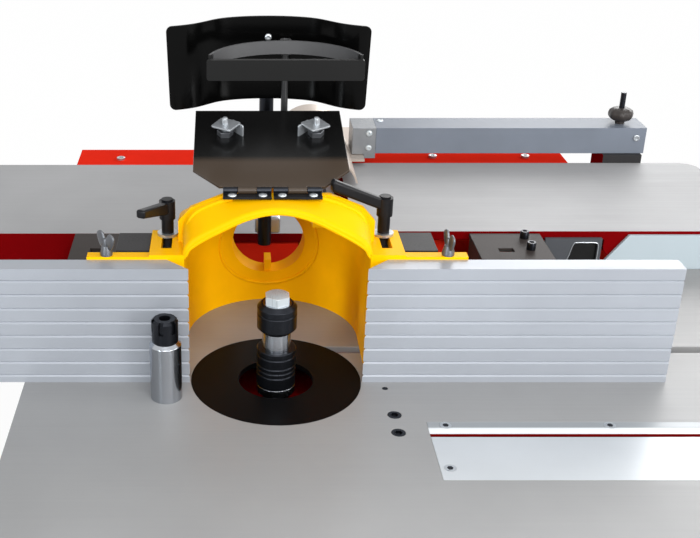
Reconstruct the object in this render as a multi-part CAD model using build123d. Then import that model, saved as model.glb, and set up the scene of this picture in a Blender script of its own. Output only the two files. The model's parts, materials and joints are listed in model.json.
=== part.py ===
from build123d import *
import os
from math import cos, pi, radians, sin, sqrt, tan

# Combination woodworking machine: saw and spindle moulder in front, planer behind.
# All pieces are drawn with the spindle axis at X = Y = 0 and the top of the main table at Z = 0.
# X runs right along the feed, Y to the rear and Z up. The export moves the whole machine so that
# its origin is the bottom centre of its bounding box.

# Fits and common wall sizes
running_fit = 0.05
slide_gap = 0.3
end_gap = 1.0
sheet = 3.0
panel_sheet = 2.0

# Cabinet
table_height = 870.0
cabinet_inset = 30.0
cabinet_length = 840.0
cabinet_top_drop = 60.0
panel_depth = 20.0
plinth_height = 80.0
plinth_flange = 40.0
plinth_sheet = 4.0
floor_hole_radius = 7.0
floor_hole_inset = 20.0
floor_tab_size = 90.0

# Main table
table_length = 1000.0
table_depth = 575.0
table_left = 266.0
table_front = 300.0
table_plate = 16.0
table_corner_radius = 6.0
skirt_depth = 40.0
skirt_wall = 10.0
groove_y = 63.0
groove_width = 14.0
groove_depth = 9.0
ring_radius = 90.0
ring_hole_radius = 39.5
ring_thickness = 6.0
ring_gap = 0.2
ring_ledge = 15.0

# Saw insert and the slot that it leaves for the blade
insert_left = 147.0
insert_length = 393.0
insert_front = -181.0
insert_rear = -84.0
insert_thickness = 5.0
insert_gap = 0.2
insert_ledge = 12.0
strip_ledge = 8.0
blade_y = -106.8
slot_width = 7.6

# Screws in the table
socket_head_radius = 7.0
socket_head_depth = 7.0
small_head_radius = 3.0
flat_head_radius = 6.0
flat_head_depth = 3.0
screw_shank_radius = 2.5
screw_gap = 0.15
socket_places = [(116.8, -70.7), (116.5, -102.7)]
small_place = (113.8, -19.5)
strip_bevel_depth = 1.5
strip_screw_shift = 4.0
strip_screw_first = 18.0
strip_screw_pitch = 163.0
strip_screw_count = 3
plate_screw_front = 19.0
plate_screw_end = 9.5

# Spindle
spindle_radius = 15.0
spindle_top = 91.2
shoulder_radius = 20.5
shoulder_bottom = -12.0
rings_bottom = -3.7
ring_edge = 0.8
ring_lip = 0.5
lower_ring_radius = 20.5
lower_ring_heights = [14.5, 5.3, 5.4, 10.8, 7.3]
upper_ring_bottom = 58.5
upper_ring_radius = 20.8
upper_ring_slope = 4.0
upper_ring_heights = [21.7, 11.0]
bolt_across_flats = 24.0
bolt_head_height = 9.0
bolt_head_turn = 30.0
bolt_head_slope = 30.0
bolt_thread_radius = 8.0
bolt_thread_length = 30.0
bearing_radius = 31.0
bearing_width = 16.0
quill_radius = 44.0
quill_top = -40.0
block_top = -60.0
block_bottom = -200.0
block_half_width = 95.0
block_front = 30.0
block_rear = 125.0
guide_radius = 11.0
guide_x = 70.0
guide_y = 100.0
guide_length = 290.0
motor_y = 190.0
motor_radius = 60.0
motor_top = -50.0
motor_plate = 15.0
motor_ribs = 24
motor_rib_width = 2.5
motor_rib_height = 5.0
pulley_height = 24.0
pulley_flange = 3.0
pulley_flange_rise = 5.0
spindle_pulley_radius = 28.0
motor_pulley_radius = 40.0
pulley_drop = 12.0
belt_thickness = 4.0
motor_shaft_radius = 10.0

# Rack-and-pinion lifts with handwheels
pinion_module = 2.0
pinion_teeth = 12
pinion_width = 20.0
tooth_share = 0.35
tooth_angle = 20.0
tooth_overlap = 0.5
mesh_gap = 0.1
rack_width = 30.0
rack_web = 8.0
lift_shaft_radius = 8.0
spindle_lift_z = -140.0
saw_lift_rise = 25.0
wheel_radius = 70.0
wheel_rim_width = 16.0
wheel_rim_bevel = 4.5
wheel_hub_radius = 18.0
wheel_hub_length = 30.0
wheel_spokes = 3
wheel_gap = 14.0
spoke_radius = 6.0
grip_radius = 10.0
grip_length = 55.0
grip_fillet = 4.0
grip_stem_radius = 3.0
grip_stem_length = 3.0

# Saw unit
blade_radius = 140.0
blade_thickness = 2.8
blade_teeth = 36
gullet_depth = 5.0
gullet_width = 8.0
tooth_relief = 0.5
blade_drop = 5.0
saw_x = 343.0
arbor_radius = 12.5
saw_flange_radius = 35.0
saw_flange_width = 8.0
saw_nut_flats = 30.0
saw_nut_width = 12.0
saw_motor_radius = 50.0
saw_motor_length = 170.0
saw_motor_front = -88.0
saw_motor_bevel = 8.0
saw_block_front = -60.0
saw_block_rear = -20.0
saw_block_above = 57.0
saw_block_below = 70.0
saw_block_left = 203.0
saw_block_right = 448.0
saw_guide_spread = 80.0
saw_guide_length = 235.0

# Planer
planer_x = 79.0
outfeed_top = 50.0
cut_depth = 3.0
planer_front = 282.0
planer_width = 258.0
planer_left = 520.0
planer_right = 640.0
planer_plate = 12.0
apron_depth = 36.0
apron_wall = 10.0
infeed_apron_end = -245.0
outfeed_apron_start = 430.0
planer_corner = 25.0
apron_corner = 15.0
block_radius = 35.0
knife_radius = 36.5
throat_radius = 40.0
lip_gap = 34.0
journal_radius = 13.0
frame_wall = 12.0
frame_plate = 12.0
frame_wall_half = 60.0
frame_wall_left = -60.0
frame_wall_top = 32.0
knife_count = 3
knife_thickness = 3.0
knife_seat_depth = 18.0
chip_gullet_depth = 9.0
chip_gullet_foot = 4.0
chip_gullet_mouth = 9.0
cut_over = 2.0
column_radius = 15.0
column_boss_radius = 25.0
column_top = 18.0
infeed_column_x = [-200.0, -60.0]
outfeed_column_x = [220.0, 540.0]
column_inset = 50.0
skirt_panel_left = 432.0
skirt_panel_slope = 28.0
skirt_panel_drop = 90.0
skirt_panel_cover = 4.0
skirt_panel_sheet = 5.0
ledge_left = -278.0
ledge_right = 463.0
ledge_depth = 88.0
ledge_drop = 10.0
ledge_flange = 60.0
ledge_flange_inset = 40.0
ledge_sheet = 4.0
ledge_gap = 1.0

# Bridge guard of the planer
arm_left = 168.0
arm_right = 566.0
arm_front = 548.0
arm_depth = 50.0
arm_bottom = 62.0
arm_height = 39.0
arm_post_x = 533.0
arm_post_radius = 11.0
arm_post_length = 95.0
arm_stud_radius = 4.0
arm_stud_top = 148.0
pedestal_width = 57.0
pedestal_depth = 52.0
pedestal_drop = 30.0
guard_half_width = 52.0
guard_rise = 41.0
guard_foot_z = 57.0
guard_front = 435.0
guard_length = 245.0
guard_wall = 3.0
guard_flange_width = 19.0
guard_flange_start = 90.0
bracket_left = 133.0
bracket_bottom = 54.0
bracket_plug = 20.0
guard_knob_radius = 19.0
guard_knob_neck = 9.6
guard_knob_height = 24.0
guard_knob_neck_height = 9.6
guard_knob_lobes = 6
guard_knob_scallop = 5.7
guard_knob_scallop_center = 21.9

# Fences
fence_gap_half = 91.0
fence_length = 321.0
fence_height = 132.0
fence_front = -7.0
fence_thickness = 23.0
fence_wall = 3.0
fence_rib_count = 9
fence_rib_groove = 1.6
fence_slot_z = 66.0
fence_slot_opening = 10.0
fence_slot_width = 18.0
fence_slot_lip = 3.0
fence_slot_depth = 11.0

# Hood
hood_front = 16.0
hood_half_width = 103.0
hood_wall = 7.0
hood_arc_y = 94.0
hood_side_top = 160.0
hood_rear_top = 128.0
funnel_rear = 178.0
funnel_low_half = 50.0
funnel_high_half = 46.0
funnel_high_z = 190.0
hood_shoulder_x = 92.0
hood_shoulder_z = 175.0
brow_rear = 51.0
brow_rear_z = 190.5
brow_rear_half = 55.0
lip_apex = 181.0
lip_round = 5.0
lip_end_z = 135.0
lip_half_width = 95.0
lip_foot_z = 132.0
brow_overlap = 3.0
brow_flare = 1.03
window_radius = 42.5
window_x = -3.0
window_z = 79.0
window_collar = 7.0
window_collar_end = 215.0
web_left = -7.0
web_right = 1.0
web_top = 50.5
lug_outer = 132.0
lug_rear = 82.0
lug_top = 137.0
lug_thickness = 12.0
lug_slot_x = 115.0
lug_slot_front = 34.0
lug_slot_rear = 76.0
lug_slot_width = 11.0
arm_reach = 196.0
arm_thickness = 12.0
arm_foot = 40.0
arm_top = 135.0
arm_corner_width = 40.0
arm_corner_height = 55.0
foot_width = 30.0
foot_front = 95.0
foot_rear = 150.0
foot_thickness = 12.0

# Fence carriers, levers and depth screw
fence_travel = 6.0
carrier_outer = 168.0
carrier_inner = 104.0
carrier_bottom = 52.0
carrier_step_top = 134.0
tongue_center = 140.0
tongue_length = 26.0
stud_radius = 4.5
stud_y = 70.0
washer_radius = 11.0
washer_thickness = 3.0
lever_stem_radius = 6.5
lever_hub_radius = 8.5
lever_hub_height = 20.0
lever_cap_radius = 6.0
lever_cap_height = 2.0
lever_arm = 60.0
left_lever_top = 176.0
left_lever_rise = 15.0
right_lever_top = 179.5
right_lever_rise = 28.0
washer_gap = 0.05
lever_root_height = 14.0
lever_tip_height = 9.0
lever_width = 10.0
lever_edge = 2.5
left_lever_angle = 246.0
right_lever_angle = 193.0
adjuster_radius = 18.0
adjuster_length = 22.0
adjuster_x = 158.0
adjuster_z = 100.0
adjuster_ribs = 18
adjuster_shaft_radius = 5.0
adjuster_setback = 8.0
adjuster_bevel = 2.0
adjuster_groove = 1.4

# Hinged cover with its clips, posts, visor and bow
cover_x = -5.0
cover_half_front = 55.0
cover_half_width = 83.0
cover_length = 170.0
cover_chamfer = 38.0
cover_thickness = 3.0
cover_front_edge = 5.0
cover_drop = 1.0
cover_tilt = 11.0
hinge_y = 51.0
hinge_z = 194.5
hinge_knuckle_radius = 3.5
hinge_pin_radius = 1.6
hinge_length = 50.0
hinge_spread = 26.0
hinge_leaf_depth = 12.0
hinge_leaf_thickness = 2.0
hinge_knuckle_end = 15.0
hinge_tab = 8.0
clip_places = [-49.0, 52.0]
clip_s = 115.0
clip_length = 34.0
clip_width = 20.0
clip_thickness = 4.0
clip_lift = 10.0
clip_stud_radius = 4.0
clip_nut_flats = 11.0
clip_nut_height = 8.0
clip_foot_height = 5.0
clip_corner = 5.0
clip_turns = [30.0, -30.0]
clamp_half_width = 30.0
clamp_x = 3.0
clamp_start = 152.0
clamp_end = 232.0
clamp_top = -31.0
clamp_height = 22.0
rear_post_x = -5.0
rear_post_y = 262.0
rear_post_radius = 8.5
rear_post_bottom = 42.0
rear_post_top = 318.0
front_post_x = 15.0
front_post_y = 237.0
front_post_radius = 4.0
front_post_top = 303.0
visor_half_width = 115.5
visor_taper = 3.0
visor_step_x = 70.0
visor_bend = 30.0
visor_y = 252.0
visor_bottom = 228.5
visor_height = 97.0
visor_arch = 5.5
visor_thickness = 3.0
visor_corner = 7.0
visor_socket_bottom = 285.0
visor_socket_height = 30.0
visor_socket_half = 14.0
bow_x = 12.0
bow_half_length = 86.0
bow_front = 163.0
bow_pad_thickness = 6.0
bow_pad_bottom = 279.0
bow_pad_height = 23.0
bow_leaf_height = 13.0
bow_leaf_thickness = 3.0
bow_leaf_lean = 9.0
bow_leaf_rise = 5.0
bow_leaf_inset = 2.0
bow_pad_corner = 3.0
bow_collar_radius = 6.5
bow_collar_height = 17.0

# Brackets behind the fences
bracket_sheet = 5.0
right_bracket_x = 256.0
right_bracket_width = 90.0
left_bracket_x = -245.0
left_bracket_width = 80.0
rear_bracket_front = 200.0
rear_bracket_overhang = 5.0
rear_bracket_height = 48.0
bracket_slot_y = 28.0
bracket_slot_half = 5.0
bracket_slot_share = [0.3, 0.5]
rail_thickness = 5.0
rail_top = 42.7
left_rail_x = [-241.0, -153.0]
right_rail_x = [353.0, 426.0]
rail_window_left = 27.0
rail_window_slope = 10.0
rail_window_right = 5.0
rail_window_drop = 6.0

# Loose router spindle standing on the table
router_x = -114.3
router_y = -35.0
router_radius = 16.3
router_height = 66.0
router_chamfer = 4.0
router_bore = 6.0
router_nose_radius = 9.0
router_nose_height = 18.0
collet_radius = 13.5
collet_height = 25.0
collet_slots = 6
collet_bevel = 2.5
collet_slot_depth = 3.0
collet_slot_width = 5.0
collet_slot_height = 13.75
collet_slot_turn = 15.0

# Places worked out from the driving sizes
table_right = table_length - table_left
table_rear = table_depth - table_front
floor_z = -table_height
cabinet_left = -table_left + cabinet_inset
cabinet_right = cabinet_left + cabinet_length
cabinet_front = -table_front + cabinet_inset
cabinet_top = -cabinet_top_drop
cabinet_bottom = floor_z + plinth_height
planer_rear = planer_front + planer_width
cabinet_rear = planer_rear + ledge_gap
insert_right = insert_left + insert_length
insert_bottom = -insert_thickness
infeed_top = outfeed_top - cut_depth
cutter_z = outfeed_top - knife_radius
frame_front = planer_front + 2 * ledge_gap
frame_base = cabinet_top + frame_plate
ring_seat_radius = ring_radius + ring_gap
table_bore_radius = ring_radius - ring_ledge
fence_rear = fence_front + fence_thickness
plate_bottom = -table_plate
pinion_pitch_radius = pinion_module * pinion_teeth / 2
tooth_height = 0.9 * pinion_module
pulley_top = block_bottom - pulley_drop
pulley_bottom = pulley_top - pulley_height
saw_z = -blade_drop - blade_radius
saw_lift_z = saw_z + saw_lift_rise
saw_block_top = saw_z + saw_block_above
saw_block_bottom = saw_z - saw_block_below
saw_flange_y = blade_y + blade_thickness / 2
arm_post_y = arm_front + arm_depth / 2
spindle_pinion_x = -block_half_width - rack_web - pinion_pitch_radius - mesh_gap
spindle_pinion_y = (block_front + block_rear) / 2
saw_pinion_x = saw_block_left - pinion_pitch_radius - rack_web - mesh_gap
saw_pinion_y = (saw_block_front + saw_block_rear) / 2
wheel_front = cabinet_front - wheel_gap
strip_screw_y = (insert_rear + blade_y + slot_width / 2) / 2 + strip_screw_shift
strip_screw_x = [insert_left + strip_screw_first + i * strip_screw_pitch for i in range(strip_screw_count)]
plate_screw_y = insert_front + plate_screw_front
plate_screw_x = [insert_left + plate_screw_end, insert_right - plate_screw_end]
flat_places = [(x, strip_screw_y) for x in strip_screw_x] + [(x, plate_screw_y) for x in plate_screw_x]
knife_y0 = frame_front + frame_wall + ledge_gap
knife_y1 = cabinet_rear - frame_wall - ledge_gap
carrier_front = hood_front + arm_thickness + fence_travel + slide_gap
carrier_top = lug_top - lug_thickness - slide_gap
cover_face = cover_thickness - cover_drop
front_post_bottom = hinge_z + sin(radians(cover_tilt)) * (front_post_y - hinge_y) + clamp_top - clamp_height


def block(x0, x1, y0, y1, z0, z1):
    """Box between two corners."""
    return Pos((x0 + x1) / 2, (y0 + y1) / 2, (z0 + z1) / 2) * Box(x1 - x0, y1 - y0, z1 - z0)


def rod(radius, z0, z1, x=0.0, y=0.0):
    """Upright cylinder from z0 to z1."""
    return Pos(x, y, (z0 + z1) / 2) * Cylinder(radius, z1 - z0)


def rod_y(radius, y0, y1, x=0.0, z=0.0):
    """Cylinder along Y from y0 to y1."""
    return Pos(x, (y0 + y1) / 2, z) * Rot(90, 0, 0) * Cylinder(radius, y1 - y0)


def rod_x(radius, x0, x1, y=0.0, z=0.0):
    """Cylinder along X from x0 to x1."""
    return Pos((x0 + x1) / 2, y, z) * Rot(0, 90, 0) * Cylinder(radius, x1 - x0)


def prism_z(points, z0, z1):
    """Upright prism on an outline of (x, y) points."""
    outline = Polyline(*[(x, y, z0) for x, y in points], close=True)
    return extrude(make_face(outline), z1 - z0, dir=(0, 0, 1))


def prism_y(points, y0, y1):
    """Prism along Y on an outline of (x, z) points."""
    outline = Polyline(*[(x, y0, z) for x, z in points], close=True)
    return extrude(make_face(outline), y1 - y0, dir=(0, 1, 0))


def prism_x(points, x0, x1):
    """Prism along X on an outline of (y, z) points."""
    outline = Polyline(*[(x0, y, z) for y, z in points], close=True)
    return extrude(make_face(outline), x1 - x0, dir=(1, 0, 0))


def mirrored(points):
    """Points of a half outline, given from the middle outwards, with their mirror images in front."""
    return [(-x, z) for x, z in reversed(points)] + [p for p in points if p[0] != 0]


def hexagon(across_flats, z0, z1):
    """Upright hexagonal prism."""
    return extrude(Pos(0, 0, z0) * RegularPolygon(across_flats / 2, 6, major_radius=False), z1 - z0)


# Cabinet

def panel_tray(x0, x1, y0, y1, z0, z1, inward):
    """Sheet panel with flanges folded towards the inside of the cabinet."""
    dx, dy = inward
    hollow_x0 = x0 if dx < 0 else x0 + panel_sheet
    hollow_x1 = x1 if dx > 0 else x1 - panel_sheet
    hollow_y0 = y0 if dy < 0 else y0 + panel_sheet
    hollow_y1 = y1 if dy > 0 else y1 - panel_sheet
    hollow = block(hollow_x0, hollow_x1, hollow_y0, hollow_y1, z0 + panel_sheet, z1 - panel_sheet)
    return block(x0, x1, y0, y1, z0, z1) - hollow


def make_base_frame():
    """Folded plinth: walls, a closed top, a foot flange, and a tab with a bolt hole in each corner."""
    x0, x1, y0, y1 = cabinet_left, cabinet_right, cabinet_front, cabinet_rear
    wall, flange = plinth_sheet, plinth_flange
    frame = block(x0, x1, y0, y1, floor_z, cabinet_bottom)
    frame -= block(x0 + wall, x1 - wall, y0 + wall, y1 - wall, floor_z + wall, cabinet_bottom - wall)
    frame -= block(x0 + flange, x1 - flange, y0 + flange, y1 - flange, floor_z, floor_z + wall)
    for x, sx in ((x0 + flange, 1), (x1 - flange, -1)):
        for y, sy in ((y0 + flange, 1), (y1 - flange, -1)):
            tab = [(x, y), (x + sx * floor_tab_size, y), (x, y + sy * floor_tab_size)]
            frame += prism_z(tab, floor_z, floor_z + wall)
            frame -= rod(floor_hole_radius, floor_z, floor_z + wall,
                         x + sx * floor_hole_inset, y + sy * floor_hole_inset)
    return frame


def make_front_panel():
    panel = panel_tray(cabinet_left, cabinet_right, cabinet_front, cabinet_front + panel_depth,
                       cabinet_bottom, cabinet_top, (0, 1))
    for x, z in ((spindle_pinion_x, spindle_lift_z), (saw_pinion_x, saw_lift_z)):
        panel += rod_y(2 * lift_shaft_radius, cabinet_front, cabinet_front + panel_depth, x, z)
        panel -= rod_y(lift_shaft_radius + running_fit, cabinet_front, cabinet_front + panel_depth, x, z)
    return panel


def make_rear_panel():
    return panel_tray(cabinet_left, cabinet_right, cabinet_rear - panel_depth, cabinet_rear,
                      cabinet_bottom, cabinet_top, (0, -1))


def make_side_panel(x0, inward):
    return panel_tray(x0, x0 + panel_depth, cabinet_front + panel_depth, cabinet_rear - panel_depth,
                      cabinet_bottom, cabinet_top, (inward, 0))


# Main table

def flat_screw(gap=0.0):
    """Countersunk screw with its head flush with Z = 0."""
    cone = Cone(screw_shank_radius + gap, flat_head_radius + gap, flat_head_depth)
    head = Pos(0, 0, -flat_head_depth / 2) * cone
    return head + rod(screw_shank_radius + gap, plate_bottom, -flat_head_depth)


def make_main_table():
    """Cast plate with a skirt, a wall that stands on the cabinet, and seats for ring, insert and screws."""
    left, right, front, rear = -table_left, table_right, -table_front, table_rear
    table = block(left, right, front, rear, -skirt_depth, 0)
    table = fillet(table.edges().filter_by(Axis.Z), table_corner_radius)
    table -= block(left + skirt_wall, right - skirt_wall, front + skirt_wall, rear - skirt_wall,
                   -skirt_depth, plate_bottom)
    wall = block(cabinet_left, cabinet_right, cabinet_front, rear, cabinet_top, plate_bottom)
    wall -= block(cabinet_left + frame_wall, cabinet_right - frame_wall, cabinet_front + frame_wall,
                  rear - frame_wall, cabinet_top, plate_bottom)
    table += wall
    for x in (cabinet_right + (right - cabinet_right) / 2, insert_right + frame_wall / 2):
        table += block(x - frame_wall / 2, x + frame_wall / 2, front + skirt_wall, rear - skirt_wall,
                       -skirt_depth, plate_bottom)
    table -= rod(ring_seat_radius, -ring_thickness, 0)
    table -= rod(table_bore_radius, plate_bottom, 0)
    table -= block(0, right, groove_y - groove_width / 2, groove_y + groove_width / 2, -groove_depth, 0)
    table -= block(insert_left - insert_gap, insert_right + insert_gap, insert_front - insert_gap,
                   insert_rear + insert_gap, insert_bottom, 0)
    table -= block(insert_left + insert_ledge, insert_right - insert_ledge, insert_front + insert_ledge,
                   insert_rear - strip_ledge, plate_bottom, 0)
    for x, y in socket_places:
        table -= rod(socket_head_radius + screw_gap, -socket_head_depth, 0, x, y)
    table -= rod(small_head_radius + screw_gap, -socket_head_depth, 0, *small_place)
    return table


def make_table_ring():
    """Flat insert ring; fills the seat to the table's surface."""
    ring = rod(ring_radius, -ring_thickness, 0) - rod(ring_hole_radius, -ring_thickness, 0)
    cut = groove_width / 2
    return ring - block(table_bore_radius, ring_radius, groove_y - cut, groove_y + cut, -ring_thickness, 0)


def make_saw_insert():
    plate = block(insert_left, insert_right, insert_front, blade_y - slot_width / 2, insert_bottom, 0)
    for x in plate_screw_x:
        plate -= Pos(x, plate_screw_y, 0) * flat_screw(screw_gap)
    return plate


def make_insert_strip():
    """Edge strip behind the slot, with a bevel along the slot."""
    front = blade_y + slot_width / 2
    bevel = (insert_rear - front) / 2
    outline = [(front, insert_bottom), (insert_rear, insert_bottom), (insert_rear, 0), (front + bevel, 0),
               (front, -strip_bevel_depth)]
    strip = prism_x(outline, insert_left, insert_right)
    for x in strip_screw_x:
        strip -= Pos(x, strip_screw_y, 0) * flat_screw(screw_gap)
    return strip


def make_table_screws():
    screws = []
    for x, y in socket_places:
        head = rod(socket_head_radius, -socket_head_depth, 0, x, y)
        screws.append(head - Pos(x, y, 0) * hexagon(socket_head_radius, -socket_head_depth / 2, 0))
    screws.append(rod(small_head_radius, -socket_head_depth, 0, *small_place))
    for x, y in flat_places:
        screw = Pos(x, y, 0) * flat_screw()
        screws.append(screw - block(x - insert_ledge, x + insert_ledge, y - insert_ledge, y + insert_ledge,
                                    plate_bottom, insert_bottom))
    return Compound(children=screws)


# Spindle moulder unit

def make_spindle_guides():
    return Compound(children=[rod(guide_radius, plate_bottom - guide_length, plate_bottom, x, guide_y)
                              for x in (-guide_x, guide_x)])


def rack(x, y, z0, z1, side, pinion_z):
    """Vertical rack on the face X = x; its teeth point along side, and a gap faces the pinion's height."""
    pitch = pi * pinion_module
    teeth = block(min(x, x + side * (rack_web - tooth_height)), max(x, x + side * (rack_web - tooth_height)),
                  y - rack_width / 2, y + rack_width / 2, z0, z1)
    half = tooth_share * pitch / 2
    slope = tooth_height * tan(radians(tooth_angle))
    count = int((z1 - z0) / pitch) + 2
    for i in range(-count, count):
        z = pinion_z + (i + 0.5) * pitch
        if z0 + half + slope < z < z1 - half - slope:
            root = x + side * (rack_web - tooth_height - tooth_overlap)
            tip = x + side * (rack_web + tooth_height)
            teeth += prism_y([(root, z - half - slope), (tip, z - half + slope), (tip, z + half - slope),
                              (root, z + half + slope)], y - rack_width / 2, y + rack_width / 2)
    return teeth


def make_spindle_carriage():
    """Block on two guides with the quill, a plate for the motor and a rack on its left face."""
    body = block(-block_half_width, block_half_width, block_front, block_rear, block_bottom, block_top)
    body += rod(quill_radius, block_bottom, quill_top)
    body += block(-quill_radius, quill_radius, 0, block_front, block_bottom, block_top)
    body += block(-motor_radius, motor_radius, block_rear, motor_y + motor_radius, block_bottom,
                  block_bottom + motor_plate)
    body += rack(-block_half_width, spindle_pinion_y, block_bottom, block_top, -1, spindle_lift_z)
    body -= rod(bearing_radius, block_bottom, quill_top)
    body -= rod(motor_shaft_radius * 1.5, block_bottom, block_bottom + motor_plate, 0, motor_y)
    body -= rod(motor_radius + slide_gap, block_bottom + motor_plate, block_top, 0, motor_y)
    for x in (-guide_x, guide_x):
        body -= rod(guide_radius + running_fit, block_bottom, block_top, x, guide_y)
    return body


def make_spindle_bearings():
    tops = (quill_top - bearing_width, block_bottom + 2 * bearing_width)
    return Compound(children=[rod(bearing_radius, top - bearing_width, top)
                              - rod(spindle_radius + running_fit, top - bearing_width, top) for top in tops])


def pulley(radius, x, y):
    """Flat pulley with a flange at each end."""
    wheel = rod(radius, pulley_bottom, pulley_top, x, y)
    for z in (pulley_bottom, pulley_top - pulley_flange):
        wheel += rod(radius + pulley_flange_rise, z, z + pulley_flange, x, y)
    return wheel


def make_spindle_shaft():
    """Spindle with a shoulder for the rings, its pulley turned on and a tapped hole in its top."""
    shaft = rod(spindle_radius, pulley_bottom, spindle_top)
    shaft += rod(shoulder_radius, shoulder_bottom, rings_bottom)
    shaft += pulley(spindle_pulley_radius, 0, 0)
    return shaft - rod(bolt_thread_radius, spindle_top - bolt_thread_length, spindle_top)


def make_spacer_rings():
    """Five lower rings on the shoulder, then a ring tapered to the shaft and a ring sloped to the bolt."""
    rings = []
    z = rings_bottom
    for height in lower_ring_heights:
        ring = chamfer(rod(lower_ring_radius, z, z + height).edges().filter_by(GeomType.CIRCLE), ring_edge)
        rings.append(ring - rod(spindle_radius, z, z + height))
        z += height
    taper = upper_ring_radius - spindle_radius - ring_lip
    z = upper_ring_bottom
    for height, lower, upper in zip(upper_ring_heights, (taper, ring_edge), (ring_edge, upper_ring_slope)):
        ring = rod(upper_ring_radius, z, z + height)
        ring = chamfer(ring.edges().group_by(Axis.Z)[0], lower)
        ring = chamfer(ring.edges().group_by(Axis.Z)[-1], upper)
        rings.append(ring - rod(spindle_radius, z, z + height))
        z += height
    return Compound(children=rings)


def make_spindle_bolt():
    """Hexagon bolt with one corner to the front and its top edge turned off at a slope."""
    head = hexagon(bolt_across_flats, spindle_top, spindle_top + bolt_head_height)
    top = bolt_across_flats / 2
    foot = top + bolt_head_height / tan(radians(bolt_head_slope))
    cone = Pos(0, 0, spindle_top + bolt_head_height / 2) * Cone(foot, top, bolt_head_height)
    head = Rot(0, 0, bolt_head_turn) * (head & cone)
    return head + rod(bolt_thread_radius, spindle_top - bolt_thread_length, spindle_top)


def make_spindle_motor():
    """Motor on the carriage's plate, with cooling ribs round its body."""
    bottom = block_bottom + motor_plate
    motor = rod(motor_radius - motor_rib_height, bottom, motor_top, 0, motor_y)
    for i in range(motor_ribs):
        rib = block(0, motor_radius, -motor_rib_width / 2, motor_rib_width / 2, bottom + motor_plate,
                    motor_top - motor_plate)
        motor += Pos(0, motor_y, 0) * Rot(0, 0, 360 * i / motor_ribs) * rib
    motor -= rod(motor_shaft_radius + running_fit, bottom, bottom + motor_plate, 0, motor_y)
    return motor


def make_spindle_motor_pulley():
    shaft = rod(motor_shaft_radius, pulley_bottom, block_bottom + 2 * motor_plate - end_gap, 0, motor_y)
    return shaft + pulley(motor_pulley_radius, 0, motor_y)


def make_spindle_belt():
    """Flat belt between the pulleys' flanges."""
    z0 = pulley_bottom + pulley_flange + slide_gap
    z1 = pulley_top - pulley_flange - slide_gap

    def loop(extra):
        circles = [Edge.make_circle(spindle_pulley_radius + extra),
                   Edge.make_circle(motor_pulley_radius + extra, Plane((0, motor_y, 0)))]
        return extrude(Pos(0, 0, z0) * make_hull(circles), z1 - z0)

    return loop(slide_gap + belt_thickness) - loop(slide_gap)


# Lift shafts and handwheels

def lift_shaft(x, y, z):
    """Shaft from the handwheel to its pinion, with the teeth cut on its rear end."""
    front, rear = wheel_front - wheel_hub_length, y + pinion_width / 2
    shaft = rod_y(lift_shaft_radius, front, rear, x, z)
    pitch = pi * pinion_module
    half = tooth_share * pitch / 2
    slope = tooth_height * tan(radians(tooth_angle))
    root, tip = pinion_pitch_radius - tooth_height, pinion_pitch_radius + tooth_height
    gear = rod_y(root, rear - pinion_width, rear)
    for i in range(pinion_teeth):
        tooth = prism_y([(root - tooth_overlap, -half - slope), (tip, -half + slope), (tip, half - slope),
                         (root - tooth_overlap, half + slope)], rear - pinion_width, rear)
        gear += Rot(0, 360 * i / pinion_teeth, 0) * tooth
    return shaft + Pos(x, 0, z) * gear


def handwheel(x, z):
    """Bevelled rim, spokes and hub with a crank grip on a short stem."""
    y1 = wheel_front
    y0 = y1 - wheel_hub_length
    middle = (y0 + y1) / 2
    rim_front = middle - wheel_rim_width / 2
    rim_rear = middle + wheel_rim_width / 2
    rim = rod_y(wheel_radius + wheel_rim_width / 2, rim_front, rim_rear)
    rim -= rod_y(wheel_radius - wheel_rim_width / 2, rim_front, rim_rear)
    wheel = chamfer(rim.edges().filter_by(GeomType.CIRCLE), wheel_rim_bevel)
    wheel += rod_y(wheel_hub_radius, y0, y1)
    for i in range(wheel_spokes):
        spoke = rod_x(spoke_radius, lift_shaft_radius, wheel_radius, middle, 0)
        wheel += Rot(0, 90 + 360 * i / wheel_spokes, 0) * spoke
    grip_rear = rim_front - grip_stem_length
    wheel += rod_y(grip_stem_radius, grip_rear, rim_front, 0, wheel_radius)
    grip = rod_y(grip_radius, grip_rear - grip_length, grip_rear)
    wheel += Pos(0, 0, wheel_radius) * fillet(grip.edges().filter_by(GeomType.CIRCLE), grip_fillet)
    wheel -= rod_y(lift_shaft_radius, y0, y1)
    return Pos(x, 0, z) * wheel


# Saw unit

def make_saw_guides():
    return Compound(children=[rod(guide_radius, plate_bottom - saw_guide_length, plate_bottom, x, saw_pinion_y)
                              for x in (saw_x - saw_guide_spread, saw_x + saw_guide_spread)])


def make_saw_carriage():
    """Block on two guides that clamps the motor, with a rack on its left end."""
    body = block(saw_block_left, saw_block_right, saw_block_front, saw_block_rear, saw_block_bottom,
                 saw_block_top)
    body += rack(saw_block_left, saw_pinion_y, saw_block_bottom, saw_block_top, -1, saw_lift_z)
    body -= rod_y(saw_motor_radius, saw_block_front, saw_block_rear, saw_x, saw_z)
    for x in (saw_x - saw_guide_spread, saw_x + saw_guide_spread):
        body -= rod(guide_radius + running_fit, saw_block_bottom, saw_block_top, x, saw_pinion_y)
    return body


def make_saw_motor():
    body = rod_y(saw_motor_radius, saw_motor_front, saw_motor_front + saw_motor_length, saw_x, saw_z)
    body = chamfer(body.edges().group_by(Axis.Y)[-1], saw_motor_bevel)
    middle = saw_motor_front + saw_motor_length / 2
    return body - rod_y(arbor_radius + running_fit, saw_motor_front, middle, saw_x, saw_z)


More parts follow.
